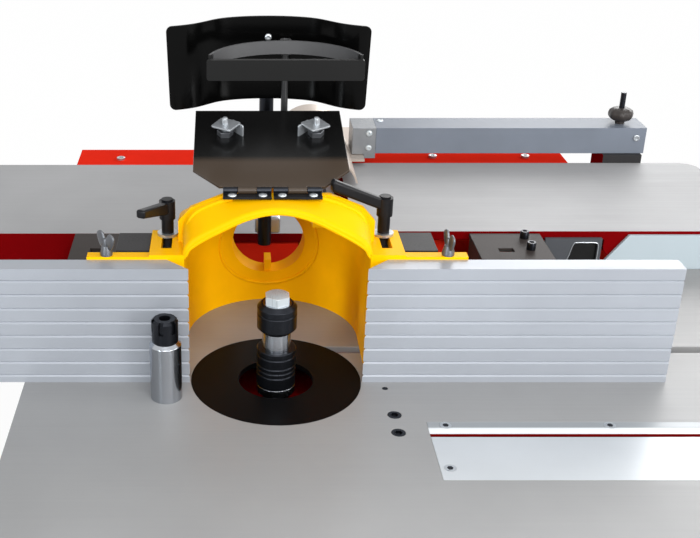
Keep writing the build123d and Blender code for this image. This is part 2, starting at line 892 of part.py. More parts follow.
def make_saw_arbor():
    """Arbor with a fixed flange behind the blade."""
    front = blade_y - blade_thickness / 2 - saw_flange_width - saw_nut_width
    arbor = rod_y(arbor_radius, front, saw_motor_front + saw_motor_length / 2 - end_gap, saw_x, saw_z)
    return arbor + rod_y(saw_flange_radius, saw_flange_y, saw_flange_y + saw_flange_width, saw_x, saw_z)


def make_saw_blade():
    """Disc with a gullet before each tooth and a bore on the arbor."""
    y0, y1 = blade_y - blade_thickness / 2, blade_y + blade_thickness / 2
    blade = rod_y(blade_radius, y0, y1)
    step = 360 / blade_teeth
    pocket = [(blade_radius - gullet_depth, 0), (blade_radius + gullet_depth, 0),
              (blade_radius + gullet_depth, gullet_width), (blade_radius - tooth_relief, gullet_width)]
    for i in range(blade_teeth):
        blade -= Rot(0, i * step, 0) * prism_y(pocket, y0, y1)
    return Pos(saw_x, 0, saw_z) * (blade - rod_y(arbor_radius, y0, y1))


def make_saw_flange():
    """Loose flange with the clamping nut formed on it."""
    y1 = blade_y - blade_thickness / 2
    flange = rod_y(saw_flange_radius, y1 - saw_flange_width, y1, saw_x, saw_z)
    nut = Rot(90, 0, 0) * hexagon(saw_nut_flats, -saw_nut_width, 0)
    flange += Pos(saw_x, y1 - saw_flange_width - saw_nut_width, saw_z) * nut
    return flange - rod_y(arbor_radius, y1 - saw_flange_width - saw_nut_width, y1, saw_x, saw_z)


# Planer

def make_planer_frame():
    """Bed on the cabinet, two walls with the cutter block's bearings, and columns for the tables."""
    frame = block(cabinet_left, cabinet_right, frame_front, cabinet_rear, cabinet_top, frame_base)
    for y in (frame_front, cabinet_rear - frame_wall):
        wall = block(planer_x - frame_wall_half, planer_x + frame_wall_half, y, y + frame_wall, frame_base,
                     cutter_z)
        wall += rod_y(column_boss_radius, y, y + frame_wall, planer_x, cutter_z)
        wall += block(frame_wall_left, planer_x - throat_radius, y, y + frame_wall, frame_base, frame_wall_top)
        frame += wall - rod_y(journal_radius + running_fit, y, y + frame_wall, planer_x, cutter_z)
    for y in (planer_front + column_inset, planer_rear - column_inset):
        for x in infeed_column_x:
            frame += rod(column_radius, frame_base, column_top, x, y)
        for x in outfeed_column_x:
            frame += rod(column_boss_radius, frame_base, outfeed_top - planer_plate, x, y)
    return frame


def throat():
    """Space round the cutter block that the tables leave free."""
    return rod_y(throat_radius, planer_front, planer_rear, planer_x, cutter_z)


def table_body(x0, x1, top, apron0, apron1, outer):
    """Planer table plate with aprons along part of its long edges and rounded corners at its outer end."""
    plate = block(x0, x1, planer_front, planer_rear, top - planer_plate, top)
    ends = plate.edges().filter_by(Axis.Z).sort_by(Axis.X)
    plate = fillet(ends[:2] if outer < 0 else ends[2:], planer_corner)
    low = top - apron_depth
    apron = block(apron0, apron1, planer_front, planer_front + apron_wall, low, top - planer_plate)
    apron += block(apron0, apron1, planer_rear - apron_wall, planer_rear, low, top - planer_plate)
    inner = max(apron0, apron1, key=lambda x: -outer * x)
    lower_edges = apron.edges().filter_by(Axis.Y).group_by(Axis.Z)[0]
    apron = fillet(lower_edges.filter_by(lambda e: abs(e.center().X - inner) < end_gap), apron_corner)
    cut = plate & block(x0, x1, planer_front, planer_rear, low, top)
    x0, x1 = x0 + planer_corner * (outer < 0), x1 - planer_corner * (outer > 0)
    return cut + (apron & block(x0, x1, planer_front, planer_rear, low, top))


def make_infeed_table():
    """Left table, lower by the depth of cut, with four sleeves that slide on the frame's columns."""
    table = table_body(-planer_left, planer_x - lip_gap, infeed_top, -planer_left, infeed_apron_end, -1)
    under = infeed_top - planer_plate
    sleeve_bottom = frame_base + 2 * cut_depth
    for x in infeed_column_x:
        for y in (planer_front + column_inset, planer_rear - column_inset):
            table += rod(column_boss_radius, sleeve_bottom, under, x, y)
            table -= rod(column_radius + running_fit, sleeve_bottom, column_top + 2 * cut_depth, x, y)
    return table - throat()


def make_outfeed_table():
    table = table_body(planer_x + lip_gap, planer_right, outfeed_top, outfeed_apron_start, planer_right, 1)
    return table - throat()


def make_planer_skirt():
    """Pale panel in front of the outfeed table's apron, with a sloping left end."""
    top = outfeed_top - skirt_panel_cover
    bottom = top - skirt_panel_drop
    outline = [(skirt_panel_left, bottom), (planer_right - planer_corner, bottom),
               (planer_right - planer_corner, top), (skirt_panel_left + skirt_panel_slope, top),
               (skirt_panel_left, top - apron_depth)]
    return prism_y(outline, planer_front - skirt_panel_sheet, planer_front)


def make_cutter_block():
    """Cylinder with a chip gullet and a knife slot for each knife, and a journal at each end."""
    cutter = rod_y(block_radius, knife_y0, knife_y1)
    low, high = block_radius - chip_gullet_depth, block_radius + cut_over
    seat = block_radius - knife_seat_depth
    for i in range(knife_count):
        gullet = [(-2 * knife_thickness, low), (chip_gullet_foot, low), (chip_gullet_mouth, high),
                  (-2 * knife_thickness, high)]
        slot = block(-2 * knife_thickness, -knife_thickness, knife_y0, knife_y1, seat, high)
        cutter -= Rot(0, 360 * i / knife_count, 0) * (prism_y(gullet, knife_y0, knife_y1) + slot)
    cutter += rod_y(journal_radius, frame_front + ledge_gap, cabinet_rear - ledge_gap)
    return Pos(planer_x, 0, cutter_z) * cutter


def make_planer_knives():
    """Knives in the block's slots with their edges on the cutting circle."""
    knives = []
    edge = sqrt(knife_radius ** 2 - (2 * knife_thickness) ** 2)
    seat = block_radius - knife_seat_depth
    for i in range(knife_count):
        knife = block(-2 * knife_thickness, -knife_thickness, knife_y0, knife_y1, seat, edge)
        knives.append(Pos(planer_x, 0, cutter_z) * Rot(0, 360 * i / knife_count, 0) * knife)
    return Compound(children=knives)


def make_rear_ledge():
    """Angle behind the tables: a flange on the frame's rear wall and a level top."""
    y0 = cabinet_rear
    top = outfeed_top - ledge_drop
    ledge = block(ledge_left, ledge_right, y0, y0 + ledge_depth, top - ledge_sheet, top)
    x0, x1 = ledge_left + ledge_flange_inset, ledge_right - ledge_flange_inset
    return ledge + block(x0, x1, y0, y0 + ledge_sheet, top - ledge_flange, top)


# Bridge guard

def make_guard_pedestal():
    """Block on the rear edge of the outfeed table, bored for the post that carries the arm."""
    half = pedestal_width / 2
    bottom = outfeed_top - pedestal_drop
    body = block(arm_post_x - half, arm_post_x + half, planer_rear, planer_rear + pedestal_depth, bottom,
                 arm_bottom)
    return body - rod(arm_post_radius + running_fit, bottom, arm_bottom, arm_post_x, arm_post_y)


def make_guard_arm():
    """Box tube with a closed right end, the post that slides in the pedestal and the knob's stud."""
    y0, y1, z0, z1 = arm_front, arm_front + arm_depth, arm_bottom, arm_bottom + arm_height
    arm = block(arm_left, arm_right, y0, y1, z0, z1)
    arm -= block(arm_left, arm_right - 2 * sheet, y0 + sheet, y1 - sheet, z0 + sheet, z1 - sheet)
    arm += rod(arm_post_radius, z0 - arm_post_length, z1 - sheet / 2, arm_post_x, arm_post_y)
    return arm + rod(arm_stud_radius, z1 - sheet / 2, arm_stud_top, arm_post_x, arm_post_y)


def make_guard_bracket():
    """Cast end of the arm, plugged into the tube, with a slot for the guard's flange."""
    y0, y1, z1 = arm_front, arm_front + arm_depth, arm_bottom + arm_height
    body = block(bracket_left, arm_left, y0, y1, bracket_bottom, z1)
    body += block(arm_left, arm_left + bracket_plug, y0 + sheet, y1 - sheet, arm_bottom + sheet, z1 - sheet)
    slot_right = planer_x + guard_half_width + guard_flange_width + slide_gap
    return body - block(bracket_left, slot_right, y0, y1, guard_foot_z - slide_gap,
                        guard_foot_z + guard_wall + slide_gap)


def make_guard_knob():
    """Lobed knob on the post, above the arm."""
    z0 = arm_bottom + arm_height
    z1 = z0 + guard_knob_height
    disc = rod(guard_knob_radius, z0 + guard_knob_neck_height, z1)
    for i in range(guard_knob_lobes):
        angle = 2 * pi * i / guard_knob_lobes
        disc -= rod(guard_knob_scallop, z0, z1, guard_knob_scallop_center * cos(angle),
                    guard_knob_scallop_center * sin(angle))
    knob = disc + rod(guard_knob_neck, z0, z0 + guard_knob_height / 2)
    return Pos(arm_post_x, arm_post_y, 0) * (knob - rod(arm_stud_radius + running_fit, z0, z1))


def arch(half, rise, z):
    """Region under a circular arc of the given half width and rise, in the XZ plane."""
    line = Line((half, 0, z), (-half, 0, z))
    arc = ThreePointArc((-half, 0, z), (0, 0, z + rise), (half, 0, z))
    return make_face([line, arc])


def make_guard_blade():
    """Arched profile with a flange along the rear part of its right edge."""
    outer = extrude(arch(guard_half_width, guard_rise, guard_foot_z), guard_length, dir=(0, 1, 0))
    inner = extrude(arch(guard_half_width - guard_wall, guard_rise - guard_wall, guard_foot_z), guard_length,
                    dir=(0, 1, 0))
    blade = Pos(planer_x, guard_front, 0) * (outer - inner)
    edge = planer_x + guard_half_width
    return blade + block(edge - guard_wall, edge + guard_flange_width, guard_front + guard_flange_start,
                         guard_front + guard_length, guard_foot_z, guard_foot_z + guard_wall)


# Fences and their carriers

def fence_section():
    """Profile of the fence in Y and Z: two chambers, a slot in the rear face and grooves in the front."""
    body = block(0, fence_length, fence_front, fence_rear, 0, fence_height)
    half = fence_slot_width / 2
    chamber_y0, chamber_y1 = fence_front + fence_wall, fence_rear - fence_wall
    low, high = fence_slot_z - half - fence_wall, fence_slot_z + half + fence_wall
    body -= block(0, fence_length, chamber_y0, chamber_y1, fence_wall, low)
    body -= block(0, fence_length, chamber_y0, chamber_y1, high, fence_height - fence_wall)
    slot_y = fence_rear - fence_slot_lip
    opening = fence_slot_opening / 2
    body -= block(0, fence_length, slot_y, fence_rear, fence_slot_z - opening, fence_slot_z + opening)
    body -= block(0, fence_length, fence_rear - fence_slot_depth, slot_y, fence_slot_z - half,
                  fence_slot_z + half)
    pitch = fence_height / fence_rib_count
    for i in range(1, fence_rib_count):
        z = i * pitch
        body -= prism_x([(fence_front, z - fence_rib_groove), (fence_front + fence_rib_groove, z),
                         (fence_front, z + fence_rib_groove)], 0, fence_length)
    return body


def make_fence(side):
    start = fence_gap_half if side > 0 else -fence_gap_half - fence_length
    return Pos(start, 0, 0) * fence_section()


def side_block(side, x0, x1, y0, y1, z0, z1):
    """Box given for the right side, mirrored to the left where side is -1."""
    return block(min(side * x0, side * x1), max(side * x0, side * x1), y0, y1, z0, z1)


def make_carrier(side, stud_top):
    """Block under the lug, a tongue through the hood's arm into the fence's slot, and the lever's stud."""
    body = side_block(side, carrier_inner, carrier_outer, carrier_front, lug_rear, carrier_bottom, carrier_top)
    body += side_block(side, lug_outer + slide_gap, carrier_outer, carrier_front, lug_rear, carrier_bottom,
                       carrier_step_top)
    x0, x1 = tongue_center - tongue_length / 2, tongue_center + tongue_length / 2
    half = fence_slot_opening / 2 - slide_gap
    head = fence_slot_width / 2 - slide_gap
    head_rear = fence_rear - fence_slot_lip - slide_gap
    body += side_block(side, x0, x1, head_rear, carrier_front, fence_slot_z - half, fence_slot_z + half)
    body += side_block(side, x0, x1, fence_rear - fence_slot_depth + slide_gap, head_rear, fence_slot_z - head,
                       fence_slot_z + head)
    body += rod(stud_radius, carrier_top, stud_top, side * lug_slot_x, stud_y)
    if side > 0:
        body -= rod_y(adjuster_shaft_radius + running_fit, carrier_front, lug_rear, adjuster_x, adjuster_z)
    return body


def make_lever(side, angle, top, rise):
    """Clamp lever: washer, stem and hub on the stud, and a tapered handle that rises to its tip."""
    base = lug_top + washer_gap
    lever = rod(washer_radius, base, base + washer_thickness)
    lever += rod(lever_stem_radius, base + washer_thickness, top)
    lever += rod(lever_hub_radius, top - lever_hub_height, top)
    lever += rod(lever_cap_radius, top, top + lever_cap_height)
    root = top - lever_hub_radius
    tip = root + rise
    side_view = [(0, root - lever_root_height / 2), (lever_arm, tip - lever_tip_height / 2),
                 (lever_arm, tip + lever_tip_height / 2), (0, root + lever_root_height / 2)]
    handle = prism_y(side_view, -lever_width / 2, lever_width / 2)
    handle = fillet(handle.edges().filter_by(lambda e: e.center().X > lever_arm / 4), lever_edge)
    lever += handle
    lever -= rod(stud_radius + running_fit, base, top - lever_hub_radius)
    return Pos(side * lug_slot_x, stud_y, 0) * Rot(0, 0, angle) * lever


def make_adjuster_knob():
    """Ribbed knob on the depth screw, behind the right carrier."""
    y0 = lug_rear + slide_gap
    knob = rod_y(adjuster_radius, y0, y0 + adjuster_length)
    knob = chamfer(knob.edges().group_by(Axis.Y)[-1], adjuster_bevel)
    for i in range(adjuster_ribs):
        groove = rod_y(adjuster_groove, y0, y0 + adjuster_length, adjuster_radius, 0)
        knob -= Rot(0, 360 * i / adjuster_ribs, 0) * groove
    knob += rod_y(adjuster_shaft_radius, carrier_front + adjuster_setback, y0)
    return Pos(adjuster_x, 0, adjuster_z) * knob


# Hood

def u_face(half, y0, z):
    """U-shaped outline in plan: straight sides from y0 and a half circle at the rear."""
    sides = Polyline((half, hood_arc_y, z), (half, y0, z), (-half, y0, z), (-half, hood_arc_y, z))
    arc = ThreePointArc((-half, hood_arc_y, z), (0, hood_arc_y + half, z), (half, hood_arc_y, z))
    return make_face(sides.edges() + [arc])


def under_cover(drop):
    """Space below the tilted plane of the cover's lower face, lowered by drop."""
    reach = 2 * table_length
    space = Pos(0, 0, -reach / 2 - cover_drop - drop) * Box(reach, reach, reach)
    return Pos(0, hinge_y, hinge_z) * Rot(cover_tilt, 0, 0) * space


def hood_walls(inset, front):
    """U-shaped block of the chamber, with a top that falls to the rear behind the brow."""
    half, rear = hood_half_width - inset, hood_arc_y + hood_half_width
    body = extrude(u_face(half, front, 0), hood_side_top, dir=(0, 0, 1))
    side = [(front, 0), (front, hood_side_top - inset), (brow_rear, hood_side_top - inset),
            (rear, hood_rear_top - inset), (rear, 0)]
    return body & prism_x(side, -half, half)


def hood_funnel(inset, front):
    """Block between the chamber and the cover, narrower at its top than at its foot."""
    foot = hood_rear_top - 2 * hood_wall
    top = hinge_z + cover_length * sin(radians(cover_tilt))
    half = [(funnel_high_half - inset, top), (funnel_high_half - inset, funnel_high_z),
            (funnel_low_half - inset, hood_side_top), (funnel_low_half - inset, foot)]
    shape = prism_y([(cover_x + x, z) for x, z in half] + [(cover_x - x, z) for x, z in reversed(half)],
                    front, funnel_rear - inset)
    return shape & extrude(u_face(hood_half_width - inset, front, foot), top - foot, dir=(0, 0, 1))


def make_bulkhead():
    """Wall that closes the step between the brow's rear end and the lower chamber."""
    half = [(brow_rear_half, brow_rear_z - cover_drop), (hood_shoulder_x - 2 * cover_drop, hood_shoulder_z),
            (hood_half_width, hood_side_top), (hood_half_width, lip_end_z)]
    return prism_y(half + [(-x, z) for x, z in reversed(half)], brow_rear, brow_rear + hood_wall)


def brow_section(y, half_points, thickness):
    """Closed band between a spline through mirrored (x, z) points and the same spline raised."""
    low = [(x, y, z) for x, z in mirrored(half_points)]
    high = [(x * brow_flare, y, z + thickness) for x, _, z in low]
    lower, upper = Spline(*low), Spline(*high)
    return make_face([lower, Line(low[-1], high[-1]), upper, Line(low[0], high[0])])


def make_brow():
    """Front of the roof, lofted from the arched lip back to the flatter line of the hinges."""
    lip = [(0, lip_apex), (lip_half_width * 0.36, lip_apex - 7.5), (lip_half_width * 0.7, lip_apex - 24),
           (lip_half_width * 0.93, lip_end_z + 8), (lip_half_width, lip_foot_z)]
    roof = brow_rear_z - hood_wall
    rear = [(0, roof), (brow_rear_half * 0.6, roof - 0.3), (brow_rear_half * 1.1, roof - 4),
            (hood_shoulder_x - hood_wall, hood_shoulder_z - hood_wall), (lip_half_width, lip_foot_z)]
    front_section = brow_section(hood_front, lip, hood_wall)
    brow = loft([front_section, brow_section(brow_rear + brow_overlap, rear, hood_wall)])
    front_edges = brow.edges().group_by(Axis.Y)[0]
    return fillet(front_edges.sort_by(Axis.Z)[-1], lip_round)


def hood_lug(side):
    """Lug over a fence carrier, slotted for the carrier's stud."""
    inner = hood_half_width - hood_wall
    lug = side_block(side, inner, lug_outer, hood_front, lug_rear, lug_top - lug_thickness, lug_top)
    x0, x1 = lug_slot_x - lug_slot_width / 2, lug_slot_x + lug_slot_width / 2
    return lug - side_block(side, x0, x1, lug_slot_front, lug_slot_rear, 0, lug_top)


def hood_arm(side):
    """Arm behind a fence, with a cut lower corner and a slot for the carrier's tongue."""
    y0, y1 = hood_front, hood_front + arm_thickness
    arm = side_block(side, hood_half_width - hood_wall, arm_reach, y0, y1, arm_foot, arm_top)
    corner = [(arm_reach - arm_corner_width, arm_foot), (arm_reach, arm_foot + arm_corner_height),
              (arm_reach, arm_foot)]
    arm -= prism_y([(side * x, z) for x, z in corner], y0, y1)
    half = tongue_length / 2 + slide_gap
    room = fence_slot_opening / 2
    return arm - side_block(side, tongue_center - half, tongue_center + half, y0, y1, fence_slot_z - room,
                            fence_slot_z + room)


def hood_foot(side):
    """Foot on the table with a bolt hole."""
    outer = hood_half_width + foot_width
    foot = side_block(side, hood_half_width - hood_wall, outer, foot_front, foot_rear, 0, foot_thickness)
    return foot - rod(lug_slot_width / 2, 0, foot_thickness, side * (outer - foot_width / 2),
                      (foot_front + foot_rear) / 2)


def make_hood():
    """Cast hood that stands on the table round the spindle."""
    hollow = hood_walls(hood_wall, hood_front) + hood_funnel(hood_wall, brow_rear - hood_wall)
    funnel = hood_funnel(0, brow_rear + hood_wall) & under_cover(slide_gap)
    hood = hood_walls(0, hood_front) + make_bulkhead() + funnel - hollow
    hood -= block(-hood_half_width, hood_half_width, hood_front, brow_rear, lip_end_z, brow_rear_z)
    hood += make_brow()
    rear = hood_arc_y + hood_half_width
    collar = rod_y(window_radius + window_collar, rear - window_radius / 2, window_collar_end, window_x,
                   window_z)
    hood += collar - hollow
    hood -= rod_y(window_radius, hood_arc_y, window_collar_end, window_x, window_z)
    web_bottom = window_z - window_radius - end_gap
    hood += block(web_left, web_right, rear - hood_wall / 2, window_collar_end, web_bottom, web_top)
    for side in (-1, 1):
        hood += (hood_lug(side) + hood_arm(side) + hood_foot(side)) - hollow
    return hood


# Hinged cover and what it carries

def on_cover(shape):
    """Places a shape drawn flat, with the hinge axis along X at the origin, on the tilted cover."""
    return Pos(cover_x, hinge_y, hinge_z) * Rot(cover_tilt, 0, 0) * shape


def make_hood_hinges():
    """Two fixed leaves on the brow, each with two outer knuckles and its pin."""
    leaves = []
    for x in (cover_x - hinge_spread, cover_x + hinge_spread):
        x0, x1 = x - hinge_length / 2, x + hinge_length / 2
        leaf = block(x0, x1, hinge_y - hinge_knuckle_radius - hinge_leaf_depth, hinge_y - end_gap, brow_rear_z,
                     brow_rear_z + hinge_leaf_thickness)
        for k0, k1 in ((x0, x0 + hinge_knuckle_end), (x1 - hinge_knuckle_end, x1)):
            leaf += rod_x(hinge_knuckle_radius, k0, k1, hinge_y, hinge_z)
        leaf -= block(x0 + hinge_knuckle_end, x1 - hinge_knuckle_end,
                      hinge_y - hinge_knuckle_radius - slide_gap, hinge_y, brow_rear_z, hinge_z)
        leaves.append(leaf + rod_x(hinge_pin_radius, x0, x1, hinge_y, hinge_z))
    return Compound(children=leaves)


def make_hood_cover():
    """Steel plate with cut front corners and a rolled knuckle for each hinge."""
    outline = [(-cover_half_front, cover_front_edge), (cover_half_front, cover_front_edge),
               (cover_half_width, cover_chamfer), (cover_half_width, cover_length),
               (-cover_half_width, cover_length), (-cover_half_width, cover_chamfer)]
    plate = prism_z(outline, -cover_drop, cover_face)
    half = hinge_length / 2 - hinge_knuckle_end - slide_gap
    for x in (-hinge_spread, hinge_spread):
        plate += block(x - half, x + half, 0, hinge_tab, -cover_drop, cover_face)
        plate += rod_x(hinge_knuckle_radius, x - half, x + half)
        plate -= rod_x(hinge_pin_radius + running_fit, x - half, x + half)
    return on_cover(plate)


def make_cover_clips():
    """Turn clips: a stud, a lifted plate and a hexagon nut on top of the cover."""
    clips = []
    low = cover_face + clip_lift
    high = low + clip_thickness
    for x, turn in zip(clip_places, clip_turns):
        clip = rod(clip_stud_radius, cover_face, high)
        clip += hexagon(clip_nut_flats, cover_face, cover_face + clip_foot_height)
        plate = block(-clip_length / 2, clip_length / 2, -clip_width / 2, clip_width / 2, low, high)
        clip += Rot(0, 0, turn) * fillet(plate.edges().filter_by(Axis.Z), clip_corner)
        clip += hexagon(clip_nut_flats, high, high + clip_nut_height)
        clips.append(on_cover(Pos(x, clip_s, 0) * clip))
    return Compound(children=clips)


def make_post_clamp():
    """Block under the cover's rear edge that holds both posts."""
    x0, x1 = clamp_x - clamp_half_width - cover_x, clamp_x + clamp_half_width - cover_x
    body = block(x0, x1, clamp_start, clamp_end, clamp_top - clamp_height, clamp_top)
    body += block(x0, x1, clamp_start, cover_length, clamp_top, -cover_drop)
    body = on_cover(body)
    body -= rod(rear_post_radius, rear_post_bottom, rear_post_top, rear_post_x, rear_post_y)
    return body - rod(front_post_radius, rear_post_bottom, front_post_top, front_post_x, front_post_y)


def make_guard_posts():
    rear = rod(rear_post_radius, rear_post_bottom, rear_post_top, rear_post_x, rear_post_y)
    front = rod(front_post_radius, front_post_bottom, front_post_top, front_post_x, front_post_y)
    return Compound(children=[rear, front])


def visor_line(offset):
    """Plan of one face of the visor: a shallow middle, an S-shaped step to each side and nearly flat wings."""
    step, bend = visor_step_x, visor_bend
    half = [(0, 0), (step * 0.5, bend * 0.08), (step * 0.82, bend * 0.3), (step, bend * 0.6),
            (step * 1.18, bend * 0.88), (step * 1.4, bend * 1.02), (visor_half_width, bend)]
    return Spline(*[(x, visor_y + offset - depth, 0) for x, depth in mirrored(half)])


def make_visor():
    """Bent shield with arched edges and a socket that slides on the rear post."""
    rear, front = visor_line(0), visor_line(-visor_thickness)
    sheet_face = make_face([rear, front, Line(rear @ 0, front @ 0), Line(rear @ 1, front @ 1)])
    z0, z1 = visor_bottom, visor_bottom + visor_height
    shield = extrude(sheet_face, z1 + 2 * visor_arch, dir=(0, 0, 1))
    high, low = visor_half_width, visor_half_width - visor_taper
    outline = [ThreePointArc((-low, 0, z0), (0, 0, z0 + visor_arch), (low, 0, z0)),
               Line((low, 0, z0), (high, 0, z1)),
               ThreePointArc((high, 0, z1), (0, 0, z1 + visor_arch), (-high, 0, z1)),
               Line((-high, 0, z1), (-low, 0, z0))]
    window = extrude(make_face(outline), visor_y, dir=(0, 1, 0))
    corners = window.edges().filter_by(Axis.Y)
    shield = Pos(rear_post_x, 0, 0) * (shield & fillet(corners, visor_corner))
    top = visor_socket_bottom + visor_socket_height
    socket = block(rear_post_x - visor_socket_half, rear_post_x + visor_socket_half, visor_y - end_gap,
                   rear_post_y + visor_socket_half, visor_socket_bottom, top)
    socket -= rod(rear_post_radius + running_fit, visor_socket_bottom, top, rear_post_x, rear_post_y)
    return shield + socket


def make_pressure_bow():
    """Straight pad in front and a leaf bent to the rear, fixed to a collar on the front post."""
    top = bow_pad_bottom + bow_pad_height
    pad = block(bow_x - bow_half_length, bow_x + bow_half_length, bow_front, bow_front + bow_pad_thickness,
                bow_pad_bottom, top)
    pad = fillet(pad.edges().filter_by(Axis.Y), bow_pad_corner)
    y0 = bow_front + bow_pad_thickness / 2
    y1 = front_post_y - front_post_radius - running_fit
    z0 = top - bow_leaf_height + bow_leaf_rise
    t = bow_leaf_thickness
    x0, x1 = bow_x - bow_half_length + bow_leaf_inset, bow_x + bow_half_length - bow_leaf_inset
    sections = []
    for z, middle in ((z0, y1 - bow_leaf_lean), (z0 + bow_leaf_height, y1)):
        outer = ThreePointArc((x0, y0, z), (front_post_x, middle, z), (x1, y0, z))
        inner = ThreePointArc((x0 + t, y0, z), (front_post_x, middle - t, z), (x1 - t, y0, z))
        sections.append(make_face([outer, inner, Line(outer @ 0, inner @ 0), Line(outer @ 1, inner @ 1)]))
    bow = pad + loft(sections, ruled=True)
    collar_top = z0 + bow_leaf_height
    bow += rod(bow_collar_radius, collar_top - bow_collar_height, collar_top, front_post_x, front_post_y)
    return bow - rod(front_post_radius + running_fit, bow_pad_bottom, collar_top, front_post_x, front_post_y)


# Brackets on the table behind the fences

def channel_bracket(x0, width):
    """Sheet channel standing on the table, open to the front and rear, with a slot in its top."""
    y1 = table_rear
    z1 = rear_bracket_height
    body = block(x0, x0 + width, rear_bracket_front, y1, 0, z1)
    body -= block(x0 + bracket_sheet, x0 + width - bracket_sheet, rear_bracket_front, y1, 0, z1 - bracket_sheet)
    body += block(x0, x0 + width, y1, y1 + rear_bracket_overhang, z1 - bracket_sheet, z1)
    start, end = (x0 + width * share for share in bracket_slot_share)
    y = rear_bracket_front + bracket_slot_y
    return body - block(start, end, y - bracket_slot_half, y + bracket_slot_half, 0, z1)


def make_rear_brackets():
    """Two channels on the table and two rails on its rear edge, the right rail with a window."""
    rails = [block(x0, x1, table_rear, table_rear + rail_thickness, -skirt_depth, rail_top)
             for x0, x1 in (left_rail_x, right_rail_x)]
    x0, x1 = right_rail_x
    top, bottom = rail_top - rail_window_drop, 0
    window = [(x0 + rail_window_left, bottom), (x0 + rail_window_left + rail_window_slope, top),
              (x1 - rail_window_right, top), (x1 - rail_window_right, bottom)]
    rails[1] -= prism_y(window, table_rear, table_rear + rail_thickness)
    return Compound(children=[channel_bracket(right_bracket_x, right_bracket_width),
                              channel_bracket(left_bracket_x, left_bracket_width)] + rails)


# Loose router spindle

def make_router_arbor():
    body = rod(router_radius, 0, router_height, router_x, router_y)
    body = chamfer(body.edges().group_by(Axis.Z)[-1], router_chamfer)
    nose_top = router_height + router_nose_height
    body += rod(router_nose_radius, router_height, nose_top, router_x, router_y)
    return body - rod(router_bore, router_height, nose_top, router_x, router_y)


def make_collet_nut():
    """Slotted nut with a stepped top."""
    z0, z1 = router_height, router_height + collet_height
    nut = chamfer(rod(collet_radius, z0, z1).edges().group_by(Axis.Z)[-1], collet_bevel)
    half = collet_slot_width / 2
    for i in range(collet_slots):
        slot = block(collet_radius - collet_slot_depth, collet_radius, -half, half, z1 - collet_slot_height, z1)
        nut -= Rot(0, 0, 360 * i / collet_slots + collet_slot_turn) * slot
    nut -= rod(router_nose_radius + running_fit, z0, z0 + router_nose_height + slide_gap)
    return Pos(router_x, router_y, 0) * (nut - rod(router_bore, z0, z1))


def build_pieces():
    """Every piece of the machine by its node name, with the spindle axis and table top as origin."""
    return {
        "base_frame": make_base_frame(),
        "front_panel": make_front_panel(),
        "rear_panel": make_rear_panel(),
        "left_panel": make_side_panel(cabinet_left, 1),
        "right_panel": make_side_panel(cabinet_right - panel_depth, -1),
        "main_table": make_main_table(),
        "table_ring": make_table_ring(),
        "saw_insert": make_saw_insert(),
        "insert_strip": make_insert_strip(),
        "table_screws": make_table_screws(),
        "spindle_guides": make_spindle_guides(),
        "spindle_carriage": make_spindle_carriage(),
        "spindle_bearings": make_spindle_bearings(),
        "spindle_shaft": make_spindle_shaft(),
        "spacer_rings": make_spacer_rings(),
        "spindle_bolt": make_spindle_bolt(),
        "spindle_motor": make_spindle_motor(),
        "spindle_motor_pulley": make_spindle_motor_pulley(),
        "spindle_belt": make_spindle_belt(),
        "spindle_lift_shaft": lift_shaft(spindle_pinion_x, spindle_pinion_y, spindle_lift_z),
        "spindle_handwheel": handwheel(spindle_pinion_x, spindle_lift_z),
        "saw_guides": make_saw_guides(),
        "saw_carriage": make_saw_carriage(),
        "saw_motor": make_saw_motor(),
        "saw_arbor": make_saw_arbor(),
        "saw_blade": make_saw_blade(),
        "saw_flange": make_saw_flange(),
        "saw_lift_shaft": lift_shaft(saw_pinion_x, saw_pinion_y, saw_lift_z),
        "saw_handwheel": handwheel(saw_pinion_x, saw_lift_z),
        "planer_frame": make_planer_frame(),
        "infeed_table": make_infeed_table(),
        "outfeed_table": make_outfeed_table(),
        "planer_skirt": make_planer_skirt(),
        "cutter_block": make_cutter_block(),
        "planer_knives": make_planer_knives(),
        "rear_ledge": make_rear_ledge(),
        "guard_pedestal": make_guard_pedestal(),
        "guard_arm": make_guard_arm(),
        "guard_bracket": make_guard_bracket(),
        "guard_knob": make_guard_knob(),
        "guard_blade": make_guard_blade(),
        "hood": make_hood(),
        "fence_left": make_fence(-1),
        "fence_right": make_fence(1),
        "carrier_left": make_carrier(-1, left_lever_top - lever_hub_height / 2),
        "carrier_right": make_carrier(1, right_lever_top - lever_hub_height / 2),
        "lever_left": make_lever(-1, left_lever_angle, left_lever_top, left_lever_rise),
        "lever_right": make_lever(1, right_lever_angle, right_lever_top, right_lever_rise),
        "adjuster_knob": make_adjuster_knob(),
        "hood_hinges": make_hood_hinges(),
        "hood_cover": make_hood_cover(),
        "cover_clips": make_cover_clips(),
        "post_clamp": make_post_clamp(),
        "guard_posts": make_guard_posts(),
        "visor": make_visor(),
        "pressure_bow": make_pressure_bow(),
        "rear_brackets": make_rear_brackets(),
        "router_arbor": make_router_arbor(),
        "collet_nut": make_collet_nut(),
    }


pieces = build_pieces()
boxes = [piece.bounding_box() for piece in pieces.values()]
shift_x = -(min(b.min.X for b in boxes) + max(b.max.X for b in boxes)) / 2
shift_y = -(min(b.min.Y for b in boxes) + max(b.max.Y for b in boxes)) / 2
shift_z = -min(b.min.Z for b in boxes)
to_floor = Pos(shift_x, shift_y, shift_z)

os.makedirs("parts", exist_ok=True)
for name, piece in pieces.items():
    export_step(to_floor * piece, f"parts/{name}.step")
print(f"{len(pieces)} pieces, moved by {shift_x:.3f}, {shift_y:.3f}, {shift_z:.3f}")
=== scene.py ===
"""Looks of a combination woodworking machine: saw and spindle moulder in front, planer behind."""
import json
import logging
import math
from dataclasses import dataclass, field
from enum import Enum

